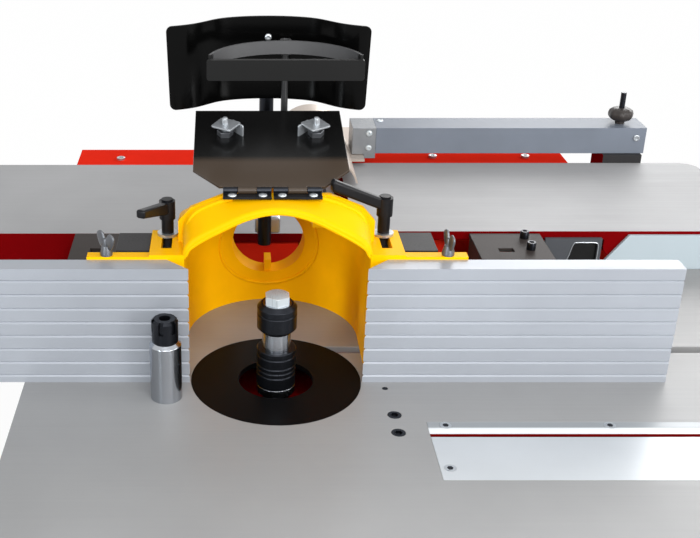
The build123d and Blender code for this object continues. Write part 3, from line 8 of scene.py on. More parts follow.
import bmesh
import bpy
import numpy as np
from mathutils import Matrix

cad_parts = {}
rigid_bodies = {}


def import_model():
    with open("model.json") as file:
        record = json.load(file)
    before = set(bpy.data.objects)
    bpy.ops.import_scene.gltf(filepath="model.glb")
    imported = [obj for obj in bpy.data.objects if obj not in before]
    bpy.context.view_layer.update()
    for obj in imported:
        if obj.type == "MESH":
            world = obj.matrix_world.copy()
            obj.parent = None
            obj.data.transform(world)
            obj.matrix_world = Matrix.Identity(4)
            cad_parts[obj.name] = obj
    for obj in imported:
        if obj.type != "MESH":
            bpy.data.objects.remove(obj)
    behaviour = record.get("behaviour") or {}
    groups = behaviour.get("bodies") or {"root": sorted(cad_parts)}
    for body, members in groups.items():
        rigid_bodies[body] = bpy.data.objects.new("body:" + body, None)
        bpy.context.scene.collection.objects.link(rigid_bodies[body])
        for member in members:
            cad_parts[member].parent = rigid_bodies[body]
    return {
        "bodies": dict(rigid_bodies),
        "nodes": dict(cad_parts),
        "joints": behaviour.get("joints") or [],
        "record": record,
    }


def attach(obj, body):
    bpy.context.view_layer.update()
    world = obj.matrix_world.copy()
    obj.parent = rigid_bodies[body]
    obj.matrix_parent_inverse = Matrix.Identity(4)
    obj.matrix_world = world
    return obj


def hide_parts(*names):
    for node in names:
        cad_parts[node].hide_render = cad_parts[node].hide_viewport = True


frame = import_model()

LOG = logging.getLogger("machine")
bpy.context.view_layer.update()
MM = 0.001
# Place of the spindle axis on the table top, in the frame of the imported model
ORIGIN = np.array([-0.107, -0.1575, 0.870])
# A distance in millimetres beyond every piece
FAR = 1e4
# Distances in metres at which doubled points merge, on new surfaces and on copies of solids
MERGE_NEW = 1e-7
MERGE_SOLID = 2e-6
# Degrees between faces that count as one flat face, and at edges that are rounded or stay sharp
FLAT_ANGLE = 0.4
EDGE_ANGLE = 32.0
SHARP_ANGLE = 35.0

Array = np.ndarray
Piece = bpy.types.Object
Socket = bpy.types.NodeSocket
Colour = tuple[float, float, float]
Light = tuple[float, float, float, float]
Point = tuple[float, float, float]
Pair = tuple[float, float]


def linear(colour: Colour) -> Light:
    """Turns a colour of 0 to 255 steps into linear light with full alpha, by the usual curve of screens.

    Args:
        colour: Red, green and blue as they look on a screen.

    Returns:
        Linear red, green, blue and alpha.
    """
    c = np.asarray(colour, float) / 255.0
    low = c / 12.92
    high = ((c + 0.055) / 1.055) ** 2.4
    r, g, b = np.where(c <= 0.04045, low, high)
    return float(r), float(g), float(b), 1.0


def at(x: float, y: float, z: float) -> Array:
    """Gives a point in metres for millimetres from the spindle axis on the table top."""
    return np.array([x, y, z]) * MM + ORIGIN


def from_spindle(points: Array) -> Array:
    """Gives millimetres from the spindle axis on the table top for points in metres."""
    return (points - ORIGIN) / MM


def vectors(items: bpy.types.bpy_prop_collection, key: str) -> Array:
    """Reads a vector of every point or face of a mesh.

    Args:
        items: Points or faces.
        key: Name of the vector.

    Returns:
        The vectors, one per row.
    """
    values = np.empty(len(items) * 3)
    items.foreach_get(key, values)
    return values.reshape(-1, 3)


def move_points(piece: Piece, points: Array) -> None:
    """Moves a piece's points to places in millimetres from the spindle axis."""
    piece.data.vertices.foreach_set("co", (points * MM + ORIGIN).ravel())
    piece.data.update()


def put(node: bpy.types.Node, **values: object) -> bpy.types.Node:
    """Sets plain values on a node's own sockets.

    Args:
        node: Node to set.
        values: Value by the socket's name, with an underscore for a space.

    Returns:
        The node.
    """
    for key, value in values.items():
        node.inputs[key.replace("_", " ")].default_value = value
    return node


def whiten(tree: bpy.types.NodeTree, plain: Socket, white: Socket, target: Socket,
           share: Socket | None = None) -> None:
    """Shows a white shader to camera, glossy and transmission rays, and a plain one to all others.

    Args:
        tree: Tree that holds the shaders.
        plain: Shader that lights the machine.
        white: Shader of the background.
        target: Surface socket of the output.
        share: Part of the white shader in what those rays see, or all of it.
    """
    path = tree.nodes.new("ShaderNodeLightPath").outputs
    seen = path["Is Camera Ray"]
    steps = [("MAXIMUM", path["Is Glossy Ray"]), ("MAXIMUM", path["Is Transmission Ray"])]
    if share is not None:
        steps.append(("MULTIPLY", share))
    for operation, value in steps:
        node = tree.nodes.new("ShaderNodeMath")
        node.operation = operation
        tree.links.new(seen, node.inputs[0])
        tree.links.new(value, node.inputs[1])
        seen = node.outputs["Value"]
    mix = tree.nodes.new("ShaderNodeMixShader")
    for i, source in enumerate((seen, plain, white)):
        tree.links.new(source, mix.inputs[i])
    tree.links.new(mix.outputs["Shader"], target)


class Axis(Enum):
    """Direction that tool marks run along."""
    X = 0
    Y = 1
    Z = 2


class Marks(Enum):
    """Tool marks on metal: marks per metre across, stretch along the axis, and depth in metres."""
    GROUND = (420.0, 0.012, 2e-5)
    DRAWN = (700.0, 0.01, 1e-5)
    TURNED = (900.0, 0.02, 1e-5)
    KNURLED = (700.0, 0.05, 2e-5)
    BRUSHED = (500.0, 0.02, 2e-5)


class Graph:
    """Small helper that builds one procedural material."""
    # Range in which most of a noise lies, and the share that each octave of it keeps
    LOW = 0.3
    HIGH = 0.7
    OCTAVE_SHARE = 0.55

    def __init__(self, name: str) -> None:
        """Starts a material with a principled shader.

        Args:
            name: Name of the material.
        """
        self.material = bpy.data.materials.new(name)
        self.material.use_nodes = True
        self.tree = self.material.node_tree
        self.tree.nodes.clear()
        self.shader = self.add("ShaderNodeBsdfPrincipled")
        self.surface = self.add("ShaderNodeOutputMaterial").inputs["Surface"]
        self.join(self.shader.outputs["BSDF"], self.surface)
        self.object = self.add("ShaderNodeTexCoord").outputs["Object"]

    def add(self, kind: str) -> bpy.types.Node:
        """Adds a node of the given kind."""
        return self.tree.nodes.new(kind)

    def join(self, source: Socket, target: Socket) -> None:
        """Links two sockets."""
        self.tree.links.new(source, target)

    def feed(self, source: Socket, name: str) -> None:
        """Links a value to one of the shader's sockets."""
        self.join(source, self.shader.inputs[name])

    def stretched(self, scale: Point) -> Socket:
        """Object coordinates, scaled along each axis.

        Args:
            scale: Factor along X, Y and Z.

        Returns:
            The mapped vector.
        """
        node = put(self.add("ShaderNodeMapping"), Scale=scale)
        self.join(self.object, node.inputs["Vector"])
        return node.outputs["Vector"]

    def noise(self, vector: Socket, scale: float, detail: float = 4.0) -> Socket:
        """Fractal noise on a vector.

        Args:
            vector: Coordinates.
            scale: Cycles per metre before stretching.
            detail: Octaves.

        Returns:
            The noise value.
        """
        node = put(self.add("ShaderNodeTexNoise"), Scale=scale, Detail=detail, Roughness=self.OCTAVE_SHARE)
        self.join(vector, node.inputs["Vector"])
        return node.outputs["Fac"]

    def ramp(self, value: Socket, low: Light, high: Light,
             start: float = LOW, end: float = HIGH) -> Socket:
        """Maps a value to a colour between two stops.

        Args:
            value: Input value.
            low: Linear colour at start.
            high: Linear colour at end.
            start: Value of the first stop.
            end: Value of the second stop.

        Returns:
            The colour.
        """
        node = self.add("ShaderNodeValToRGB")
        first, last = node.color_ramp.elements
        first.position, last.position = start, end
        first.color, last.color = low, high
        self.join(value, node.inputs["Fac"])
        return node.outputs["Color"]

    def spread(self, value: Socket, low: float, high: float,
               start: float = LOW, end: float = HIGH) -> Socket:
        """Spreads a value over a range of numbers; the default stops suit noise.

        Args:
            value: Input value.
            low: Result at start.
            high: Result at end.
            start: Value of the first stop.
            end: Value of the second stop.

        Returns:
            The spread value.
        """
        node = put(self.add("ShaderNodeMapRange"), From_Min=start, From_Max=end, To_Min=low, To_Max=high)
        self.join(value, node.inputs["Value"])
        return node.outputs["Result"]

    def bump(self, height: Socket, distance: float) -> None:
        """Adds a bump to the shader's normal.

        Args:
            height: Height from 0 to 1.
            distance: Height of a full step in metres.
        """
        node = put(self.add("ShaderNodeBump"), Distance=distance, Strength=1.0)
        self.join(height, node.inputs["Height"])
        self.feed(node.outputs["Normal"], "Normal")

    def mottle(self, colour: Colour, spread: float, scale: float) -> None:
        """Gives the base colour a slow, faint variation.

        Args:
            colour: Mean colour of 0 to 255 steps.
            spread: Share by which the colour goes up and down.
            scale: Cycles of the variation per metre.
        """
        mean = np.asarray(colour, float)
        low = linear(tuple(np.clip(mean * (1 - spread), 0, 255)))
        high = linear(tuple(np.clip(mean * (1 + spread), 0, 255)))
        self.feed(self.ramp(self.noise(self.object, scale), low, high), "Base Color")

    def roughen(self, value: Socket, mean: float, low: float, high: float) -> None:
        """Varies the roughness between two shares of its mean."""
        self.feed(self.spread(value, mean * low, mean * high), "Roughness")


@dataclass(frozen=True)
class Finish:
    """What all finishes share: colour, gloss, and a mottle of some cycles per metre."""
    name: str
    colour: Colour
    roughness: float
    metallic: float = 0.0
    specular: float = field(default=0.5, kw_only=True)
    spread: float = field(default=0.03, kw_only=True)
    cloud: float = field(default=14.0, kw_only=True)

    def material(self) -> bpy.types.Material:
        """Gives the finish's material, made at its first use.

        Returns:
            The material.
        """
        full_name = "finish_" + self.name
        known = bpy.data.materials.get(full_name)
        if known:
            return known
        graph = Graph(full_name)
        put(graph.shader, Metallic=self.metallic, Roughness=self.roughness,
            Specular_IOR_Level=self.specular)
        self.dress(graph)
        return graph.material

    def dress(self, graph: Graph) -> None:
        """Mottles the colour; each kind of finish adds its own detail."""
        graph.mottle(self.colour, self.spread, self.cloud)


@dataclass(frozen=True)
class GroundMetal(Finish):
    """Ground, drawn or turned metal: fine marks along one axis in roughness and height."""
    along: Axis = Axis.X
    marks: Marks = Marks.GROUND
    cloud: float = field(default=5.0, kw_only=True)

    def dress(self, graph: Graph) -> None:
        """Mottled colour with long thin marks.

        Args:
            graph: Material that gets the detail.
        """
        super().dress(graph)
        count, stretch, depth = self.marks.value
        scale = [1.0, 1.0, 1.0]
        scale[self.along.value] = stretch
        marks = graph.noise(graph.stretched(tuple(scale)), count, detail=3.0)
        graph.roughen(marks, self.roughness, low=0.85, high=1.15)
        graph.bump(marks, depth)


@dataclass(frozen=True)
class Paint(Finish):
    """Sprayed paint on a casting or sheet: faint peel and, on some, a clear top coat."""
    peel: float = 140.0
    depth: float = 4e-5
    coat: float = 0.0
    coat_roughness: float = 0.25

    def dress(self, graph: Graph) -> None:
        """Mottled colour with a soft peel and a thin coat.

        Args:
            graph: Material that gets the detail.
        """
        super().dress(graph)
        put(graph.shader, Coat_Weight=self.coat, Coat_Roughness=self.coat_roughness)
        graph.bump(graph.noise(graph.object, self.peel, detail=2.0), self.depth)


@dataclass(frozen=True)
class Moulding(Finish):
    """Moulded plastic, blackened steel or powder coat with a fine grain."""
    grain: float = 900.0
    depth: float = 1e-5
    spread: float = field(default=0.05, kw_only=True)
    cloud: float = field(default=20.0, kw_only=True)

    def dress(self, graph: Graph) -> None:
        """Mottled colour with grain in height and roughness.

        Args:
            graph: Material that gets the detail.
        """
        super().dress(graph)
        grain = graph.noise(graph.object, self.grain, detail=2.0)
        graph.roughen(grain, self.roughness, low=0.9, high=1.1)
        graph.bump(grain, self.depth)


@dataclass(frozen=True)
class Plating(Finish):
    """Zinc plating: metal with a soft cloud of two tints and small flecks of gloss."""
    tint: Colour = (186, 189, 190)
    fleck: float = 240.0
    cloud: float = field(default=60.0, kw_only=True)

    def dress(self, graph: Graph) -> None:
        """Clouded colour and flecked roughness.

        Args:
            graph: Material that gets the detail.
        """
        cloud = graph.noise(graph.object, self.cloud, detail=3.0)
        graph.feed(graph.ramp(cloud, linear(self.colour), linear(self.tint)), "Base Color")
        graph.roughen(graph.noise(graph.object, self.fleck), self.roughness, low=0.8, high=1.25)


@dataclass(frozen=True)
class PaintedLightTwoTone(Moulding):
    """Painted light in two tones: a lit tone in front of a line across the piece and an unlit tone behind
    it.
    """
    rear: Colour = (128, 128, 128)
    line: float = 0.0
    width: float = 0.002

    def dress(self, graph: Graph) -> None:
        """Painted light: colour by the place along Y, lit in front of the line and unlit behind it, with a
        fine grain in height.

        Args:
            graph: Material that gets the detail.
        """
        place = graph.add("ShaderNodeSeparateXYZ")
        graph.join(graph.object, place.inputs["Vector"])
        half = self.width / 2
        share = graph.spread(place.outputs["Y"], 0.0, 1.0, self.line - half, self.line + half)
        graph.feed(graph.ramp(share, linear(self.colour), linear(self.rear), 0.0, 1.0), "Base Color")
        graph.bump(graph.noise(graph.object, self.grain, detail=2.0), self.depth)


class Finishes:
    """Finishes of the machine's pieces: name, colour, roughness, metal share and detail."""
    TABLE = GroundMetal("ground_iron", (150, 150, 150), 0.47, 0.15, specular=0.3)
    PLANER_TOP = GroundMetal("planed_iron", (160, 160, 161), 0.55, 0.15, specular=0.2)
    FENCE = GroundMetal("drawn_aluminium", (156, 160, 167), 0.42, 0.3, marks=Marks.DRAWN, specular=0.4)
    # Painted highlight: the strip's half towards the saw slot is painted bright for the light on its
    # bevel, and the rear half grey.
    STRIP = PaintedLightTwoTone("strip_aluminium_painted_highlight", (226, 229, 231), 0.36, 0.3, rear=(150, 154, 157), line=-0.2519)
    INSERT = GroundMetal("insert_aluminium", (198, 202, 205), 0.36, 0.5, marks=Marks.DRAWN)
    LEVER = Moulding("lever_black", (15, 15, 18), 0.36, specular=0.2)
    KNURL = GroundMetal("knurled_steel", (104, 106, 110), 0.4, 0.8, Axis.Y, Marks.KNURLED)
    STEEL = GroundMetal("turned_steel", (176, 180, 186), 0.2, 1.0, marks=Marks.TURNED)
    BLADE = GroundMetal("blade_steel", (112, 115, 120), 0.42, 0.5, marks=Marks.TURNED, specular=0.3)
    BOLT = GroundMetal("bolt_steel", (196, 203, 206), 0.3, 0.35, Axis.Z, Marks.TURNED)
    BRIGHT = GroundMetal("bright_sheet", (168, 172, 176), 0.24, 0.55, marks=Marks.TURNED)
    RING = Moulding("black_ring", (12, 12, 13), 0.34, specular=0.04)
    BLACK_STEEL = Moulding("blackened_steel", (40, 42, 47), 0.3, 0.9)
    # Painted reflection: the black cover's front is painted warm brown for a reflection of warm
    # surroundings, and its rear stays black.
    COVER = PaintedLightTwoTone("cover_black_painted_reflection", (66, 55, 45), 0.25, rear=(14, 14, 14), line=-0.0475, width=0.012,
                  specular=0.25)
    PLASTIC = Moulding("black_plastic", (7, 7, 7), 0.38, specular=0.08)
    VISOR = Moulding("visor_black", (4, 4, 4), 0.17, specular=0.09)
    PAD = Moulding("pad_black", (17, 17, 17), 0.38, specular=0.2)
    LEAF = Moulding("leaf_grey", (76, 76, 77), 0.45, specular=0.2)
    POST = Moulding("post_grey", (44, 44, 45), 0.3, specular=0.4)
    KNOB = Moulding("knob_brown_grey", (54, 49, 47), 0.4, specular=0.3)
    PLATE = Moulding("plate_brown_grey", (56, 51, 49), 0.45, specular=0.06)
    RAIL = Moulding("rail_grey", (74, 76, 80), 0.45, specular=0.15)
    RUBBER = Moulding("black_rubber", (18, 18, 18), 0.7, specular=0.2)
    DARK_CAST = Moulding("dark_casting", (44, 43, 44), 0.5, grain=500.0, depth=5e-5, specular=0.15)
    CASTING = Moulding("bare_casting", (112, 114, 117), 0.6, grain=400.0, depth=3e-4)
    YELLOW = Paint("hood_yellow", (248, 184, 3), 0.4, depth=8e-5, specular=0.05)
    RED = Paint("ledge_red", (232, 46, 29), 0.5, specular=0.0)
    # Painted shade: a darkened copy of the red paint, for red faces that lie in shade.
    RED_PAINTED_SHADE = Paint("frame_red_painted_shade", (114, 5, 8), 0.45, specular=0.0)
    PALE = Paint("panel_pale", (174, 186, 192), 0.45, spread=0.01, specular=0.2)
    PLINTH = Paint("plinth_grey", (70, 73, 77), 0.45, coat=0.1, specular=0.3)
    ARM = Paint("arm_blue_grey", (112, 119, 130), 0.45, specular=0.25)
    MOTOR = Paint("motor_grey", (96, 102, 110), 0.45, coat=0.25)
    ZINC = Plating("zinc", (176, 181, 186), 0.32, 0.8)
    BRACKET = Plating("bracket_zinc", (124, 127, 131), 0.45, 0.4, tint=(132, 135, 138))
    GUARD = GroundMetal("guard_anodised", (196, 183, 172), 0.35, 0.5, Axis.Y, Marks.BRUSHED)


def add_object(name: str, data: bpy.types.ID) -> Piece:
    """Adds an object at the origin to the scene.

    Args:
        name: Name of the object.
        data: Its mesh, lamp or camera.

    Returns:
        The object.
    """
    thing = bpy.data.objects.new(name, data)
    bpy.context.scene.collection.objects.link(thing)
    return thing


def mesh_object(name: str, points: Array, faces: Array) -> Piece:
    """Makes a mesh object at the origin.

    Args:
        name: Name of the object.
        points: Points in metres, one per row.
        faces: Corner numbers of each face, one face per row.

    Returns:
        The object.
    """
    mesh = bpy.data.meshes.new(name)
    mesh.from_pydata(points.tolist(), [], faces.tolist())
    mesh.update()
    return add_object(name, mesh)


def smooth(piece: Piece, angle: float) -> None:
    """Shades a piece smooth, with edges above an angle in degrees kept sharp."""
    piece.data.shade_smooth()
    piece.data.set_sharp_from_angle(angle=math.radians(angle))


def surface(name: str, grid: Array) -> Piece:
    """Closed surface on a grid of points whose last column meets the first.

    A quad joins each point with its neighbours in the next row and the next column. Then the doubled
    points of poles and caps merge, and all faces turn outwards.

    Args:
        name: Name of the object.
        grid: Points in metres, by row and column.

    Returns:
        The object.
    """
    rows, columns = grid.shape[:2]
    i, j = np.meshgrid(np.arange(rows - 1), np.arange(columns), indexing="ij")
    here, above, beside = i * columns, (i + 1) * columns, (j + 1) % columns
    faces = np.stack([here + j, above + j, above + beside, here + beside], axis=-1)
    piece = mesh_object(name, grid.reshape(-1, 3), faces.reshape(-1, 4))
    work = bmesh.new()
    work.from_mesh(piece.data)
    bmesh.ops.remove_doubles(work, verts=work.verts, dist=MERGE_NEW)
    bmesh.ops.recalc_face_normals(work, faces=work.faces)
    work.to_mesh(piece.data)
    work.free()
    smooth(piece, SHARP_ANGLE)
    return piece


def circle(count: int) -> Array:
    """Angles of evenly spaced points on a circle."""
    return np.linspace(0.0, 2 * np.pi, count, endpoint=False)


def swept(name: str, path: Array, radius: float, sides: int) -> Piece:
    """Round bar: a circle stands square to the path at each of its points, and the ends close flat.

    A point is path + radius (cos a n + sin a b), with n the part of the forward direction that is
    square to the path, and b the cross product of the path's direction and n.

    Args:
        name: Name of the object.
        path: Points in millimetres from the spindle axis, one per row.
        radius: Radius in millimetres.
        sides: Points on a circle.

    Returns:
        The object.
    """
    forward = np.array([0.0, -1.0, 0.0])
    way = np.gradient(path, axis=0)
    way /= np.linalg.norm(way, axis=1, keepdims=True)
    first = forward - (way @ forward)[:, None] * way
    first /= np.linalg.norm(first, axis=1, keepdims=True)
    second = np.cross(way, first)
    rows = np.r_[0, np.arange(len(path)), len(path) - 1]
    size = np.full((len(rows), 1, 1), radius)
    size[[0, -1]] = 0.0
    angle = circle(sides)[None, :, None]
    ring = np.cos(angle) * first[rows][:, None] + np.sin(angle) * second[rows][:, None]
    return surface(name, (path[rows][:, None] + size * ring) * MM + ORIGIN)


def curve_through(points: Array, count: int) -> Array:
    """Smooth line through points: each span is a cubic with the slope of the chord between its neighbours.

    Args:
        points: Points, one per row.
        count: Points on the line.

    Returns:
        The line's points.
    """
    points = np.asarray(points, float)
    slope = np.gradient(points, axis=0)
    place = np.linspace(0.0, len(points) - 1.0, count)
    i = np.minimum(place.astype(int), len(points) - 2)
    t = (place - i)[:, None]
    return ((2 * t ** 3 - 3 * t ** 2 + 1) * points[i] + (t ** 3 - 2 * t ** 2 + t) * slope[i]
            + (3 * t ** 2 - 2 * t ** 3) * points[i + 1] + (t ** 3 - t ** 2) * slope[i + 1])


@dataclass(frozen=True)
class Zone:
    """Faces of a piece, picked by their middle and direction, that get a second finish."""
    finish: Finish
    low: Point = (-FAR, -FAR, -FAR)
    high: Point = (FAR, FAR, FAR)
    facing: Point | None = None
    aligned: float = 0.9

    def apply(self, piece: Piece) -> None:
        """Gives the picked faces the finish.

        Args:
            piece: Object whose first material is on all faces.
        """
        faces = piece.data.polygons
        middle = from_spindle(vectors(faces, "center"))
        picked = np.all((middle > self.low) & (middle < self.high), axis=1)
        if self.facing:
            picked &= vectors(faces, "normal") @ self.facing > self.aligned
        piece.data.materials.append(self.finish.material())
        faces.foreach_set("material_index", picked.astype(np.int32))


@dataclass(frozen=True)
class Coat:
    """Finish of one or more nodes, whose names are divided by spaces.

    With an edge, a copy stands in for each node: its edges are rounded to that radius in millimetres,
    and edges above the crisp angle are shaded sharp. Without one, the node's own solid stays.
    """
    nodes: str
    finish: Finish
    edge: float | None = None
    segments: int = 2
    crisp: float = EDGE_ANGLE
    zone: Zone | None = None


class Workshop:
    """Gives nodes their coats and puts new pieces on bodies."""

    def __init__(self, packed: dict) -> None:
        """Reads which body and material slot each node belongs to.

        Args:
            packed: The loaded frame.
        """
        self.nodes: dict[str, Piece] = packed["nodes"]
        bodies = packed["record"]["behaviour"]["bodies"]
        self.body_of = {node: body for body, members in bodies.items() for node in members}
        self.slot_of = {s["node"]: s["material_slot"] for s in packed["record"]["subparts"]}

    def coat(self, coat: Coat) -> list[Piece]:
        """Gives nodes their coat.

        Args:
            coat: Finish and edges of the nodes.

        Returns:
            The copies that stand in for nodes.
        """
        names = coat.nodes.split()
        if coat.edge is not None:
            return [self.soften(node, coat) for node in names]
        for node in names:
            for slot in self.nodes[node].material_slots:
                slot.material = coat.finish.material()
            LOG.info("painted %s", node)
        return []

    def soften(self, node: str, coat: Coat) -> Piece:
        """Stands a copy with rounded edges and smooth curves in for a node.

        The copy merges the solid's loose triangles, joins flat neighbours into one face, and rounds
        every edge sharper than the edge angle.

        Args:
            node: Name of the node.
            coat: Finish and edges of the copy.

        Returns:
            The copy.
        """
        name = "soft_" + node
        piece = add_object(name, bpy.data.meshes.new(name))
        work = bmesh.new()
        work.from_mesh(self.nodes[node].data)
        bmesh.ops.remove_doubles(work, verts=work.verts, dist=MERGE_SOLID)
        flat = math.radians(FLAT_ANGLE)
        bmesh.ops.dissolve_limit(work, angle_limit=flat, verts=work.verts, edges=work.edges)
        work.to_mesh(piece.data)
        work.free()
        stale = piece.data.attributes.get("custom_normal")
        if stale:
            piece.data.attributes.remove(stale)
        piece.data.materials.clear()
        piece.data.materials.append(coat.finish.material())
        if coat.zone:
            coat.zone.apply(piece)
        smooth(piece, coat.crisp)
        if coat.edge > 0:
            bevel = piece.modifiers.new("edge", "BEVEL")
            bevel.width = coat.edge * MM
            bevel.segments = coat.segments
            bevel.limit_method = "ANGLE"
            bevel.angle_limit = math.radians(EDGE_ANGLE)
            bevel.use_clamp_overlap = True
            bevel.harden_normals = True
        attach(piece, self.body_of[node])
        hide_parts(node)
        LOG.info("softened %s", node)
        return piece

    def place(self, piece: Piece, node: str, finish: Finish, slot: str | None = None) -> None:
        """Gives a new piece its finish and makes it ride with the body of a node.

        Args:
            piece: New piece.
            node: Node whose body carries it.
            finish: Finish to give.
            slot: Not used.
        """
        piece.data.materials.append(finish.material())
        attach(piece, self.body_of[node])
        LOG.info("placed %s on %s", piece.name, node)


@dataclass(frozen=True)
class Seat:
    """Place of a small fitting: a point in millimetres from the spindle axis, and turns in degrees."""
    x: float
    y: float
    z: float
    turn: float = 0.0
    lean: float = 0.0
    tilt: float = 0.0

    def put(self, points: Array) -> Array:
        """Turns points about Z, leans them about Y, tilts them about X and moves them to the place.

        Args:
            points: Points in millimetres, along the last axis.

        Returns:
            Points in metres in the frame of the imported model.
        """
        turns = np.radians([self.turn, self.lean, self.tilt])
        c, s = np.cos(turns), np.sin(turns)
        about_z = np.array([[c[0], -s[0], 0], [s[0], c[0], 0], [0, 0, 1]])
        about_y = np.array([[c[1], 0, s[1]], [0, 1, 0], [-s[1], 0, c[1]]])
        about_x = np.array([[1, 0, 0], [0, c[2], -s[2]], [0, s[2], c[2]]])
        return points @ (about_x @ about_y @ about_z).T * MM + at(self.x, self.y, self.z)


@dataclass(frozen=True)
class Fitting:
    """Small piece at a seat on a node."""
    finish: Finish
    slot: str | None = field(default=None, kw_only=True)

    def points(self) -> Array:
        """Gives the grid of points in millimetres; each kind of fitting has its own."""
        raise NotImplementedError

    def fit(self, shop: Workshop, name: str, node: str, seat: Seat, stands_for: bool = False) -> None:
        """Makes the piece and lets it ride with its node.

        Args:
            shop: Workshop that places it.
            name: Name of the piece.
            node: Node that carries it.
            seat: Place and direction.
            stands_for: Whether it stands for the node.
        """
        piece = surface(name, seat.put(self.points()))
        shop.place(piece, node, self.finish, self.slot)
        if stands_for:
            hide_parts(node)


@dataclass(frozen=True)
class Turning(Fitting):
    """Solid of revolution: each profile point (radius, height) runs round the seat's axis on a circle.

    The profile goes from the bottom pole to the top pole. With lobes, the radius at angle a is
    multiplied by 1 - dip (1 - cos(lobes a)) / 2.
    """
    profile: tuple[Pair, ...]
    sides: int = 28
    lobes: int = 0
    dip: float = 0.0

    def points(self) -> Array:
        """Carries the profile round the axis.

        Returns:
            Points by place on the profile and angle.
        """
        angle = circle(self.sides)
        radius, height = np.asarray(self.profile, float).T
        wave = 1 - self.dip * (1 - np.cos(self.lobes * angle)) / 2
        return np.stack([np.outer(radius, wave * np.cos(angle)), np.outer(radius, wave * np.sin(angle)),
                         np.repeat(height[:, None], self.sides, axis=1)], axis=-1)


@dataclass(frozen=True)
class Block(Fitting):
    """Rounded block: a sphere's two angles, with sine and cosine raised to a power that squares it off.

    It has half sizes in millimetres. A power of 1 gives an ellipsoid, and a small one a block.
    """
    half: Point
    power: float
    rows: int = 25
    columns: int = 48

    def points(self) -> Array:
        """Raises sine and cosine of both angles to the power, with their signs kept.

        Returns:
            Points by height and angle.
        """
        rise = np.linspace(-np.pi / 2, np.pi / 2, self.rows)[:, None]
        way = circle(self.columns)[None, :]
        waves = np.stack(np.broadcast_arrays(np.cos(rise), np.sin(rise), np.cos(way), np.sin(way)))
        flat, up, x, y = np.sign(waves) * np.abs(waves) ** self.power
        return np.stack([flat * x, flat * y, up], axis=-1) * self.half


class Head(Enum):
    """Kinds of fastener, each with its profile for a radius and a height of one."""
    CAP = ((0, 0), (1, 0), (1, 0.88), (0.9, 1), (0.56, 1), (0.5, 0.95), (0.5, 0.4), (0, 0.4))
    PAN = ((0, 0), (1, 0), (1, 0.3), (0.93, 0.62), (0.75, 0.86), (0.42, 0.98), (0.36, 0.95), (0.3, 0.45),
           (0, 0.4))
    RIVET = ((0, 0), (1, 0), (0.98, 0.3), (0.87, 0.6), (0.66, 0.82), (0.35, 0.96), (0, 1))
    NUT = ((0, 0), (0.95, 0), (1, 0.08), (1, 0.92), (0.93, 1), (0.5, 1), (0.5, 0.9), (0, 0.9))


def fastener(finish: Finish, head: Head, radius: float, height: float) -> Turning:
    """Screw, rivet or nut: the head's profile times radius and height, on 6 or 32 sides.

    Args:
        finish: Finish of the fastener.
        head: Kind of fastener.
        radius: Radius in millimetres.
        height: Height in millimetres.

    Returns:
        The fitting.
    """
    profile = tuple((r * radius, z * height) for r, z in head.value)
    return Turning(finish, profile, sides=6 if head is Head.NUT else 32)


@dataclass
class Assembly:
    """Sub-assembly: the coats of its nodes, and its sizes in millimetres from the spindle axis."""
    shop: Workshop
    coats: tuple[Coat, ...] = ()

    def dress(self) -> None:
        """Gives the nodes their coats and then builds the pieces."""
        for coat in self.coats:
            self.shop.coat(coat)
        self.build()

    def build(self) -> None:
        """Builds the pieces; a sub-assembly that is all nodes has none."""


@dataclass
class Cabinet(Assembly):
    """Plinth, panels and handwheels."""
    coats: tuple[Coat, ...] = (
        Coat("base_frame", Finishes.PLINTH, 1.5),
        Coat("front_panel rear_panel left_panel right_panel", Finishes.PALE, 0.9),
        Coat("spindle_handwheel saw_handwheel", Finishes.PLASTIC, 1.0))
    left: float = -236.0
    right: float = 604.0
    front: float = -270.0
    rear: float = 541.0
    screw: Turning = fastener(Finishes.ZINC, Head.PAN, 6.0, 3.0)
    screw_x: Pair = (-212.0, 580.0)
    screw_y: Pair = (-226.0, 497.0)
    screw_z: Point = (-766.0, -425.0, -88.0)
    louvre: Block = Block(Finishes.PALE, (110.0, 4.5, 6.5), power=0.4)
    louvres: int = 7
    louvre_y: float = 135.0
    louvre_z: float = -560.0
    louvre_pitch: float = 26.0

    def build(self) -> None:
        """Puts screws along the panels' edges and louvres in the side panels."""
        for z in self.screw_z:
            for x in self.screw_x:
                self.panel_screw("front_panel", Seat(x, self.front, z, tilt=90.0))
                self.panel_screw("rear_panel", Seat(x, self.rear, z, tilt=-90.0))
            for y in self.screw_y:
                self.panel_screw("left_panel", Seat(self.left, y, z, lean=-90.0))
                self.panel_screw("right_panel", Seat(self.right, y, z, lean=90.0))
        for i in range(self.louvres):
            for node, x in (("left_panel", self.left), ("right_panel", self.right)):
                seat = Seat(x, self.louvre_y, self.louvre_z + i * self.louvre_pitch, turn=90.0)
                self.louvre.fit(self.shop, f"{node}_louvre_{i}", node, seat)

    def panel_screw(self, node: str, seat: Seat) -> None:
        """Puts a screw on a panel and names it by its place."""
        self.screw.fit(self.shop, f"{node}_screw_{seat.x:.0f}_{seat.y:.0f}_{seat.z:.0f}", node, seat)


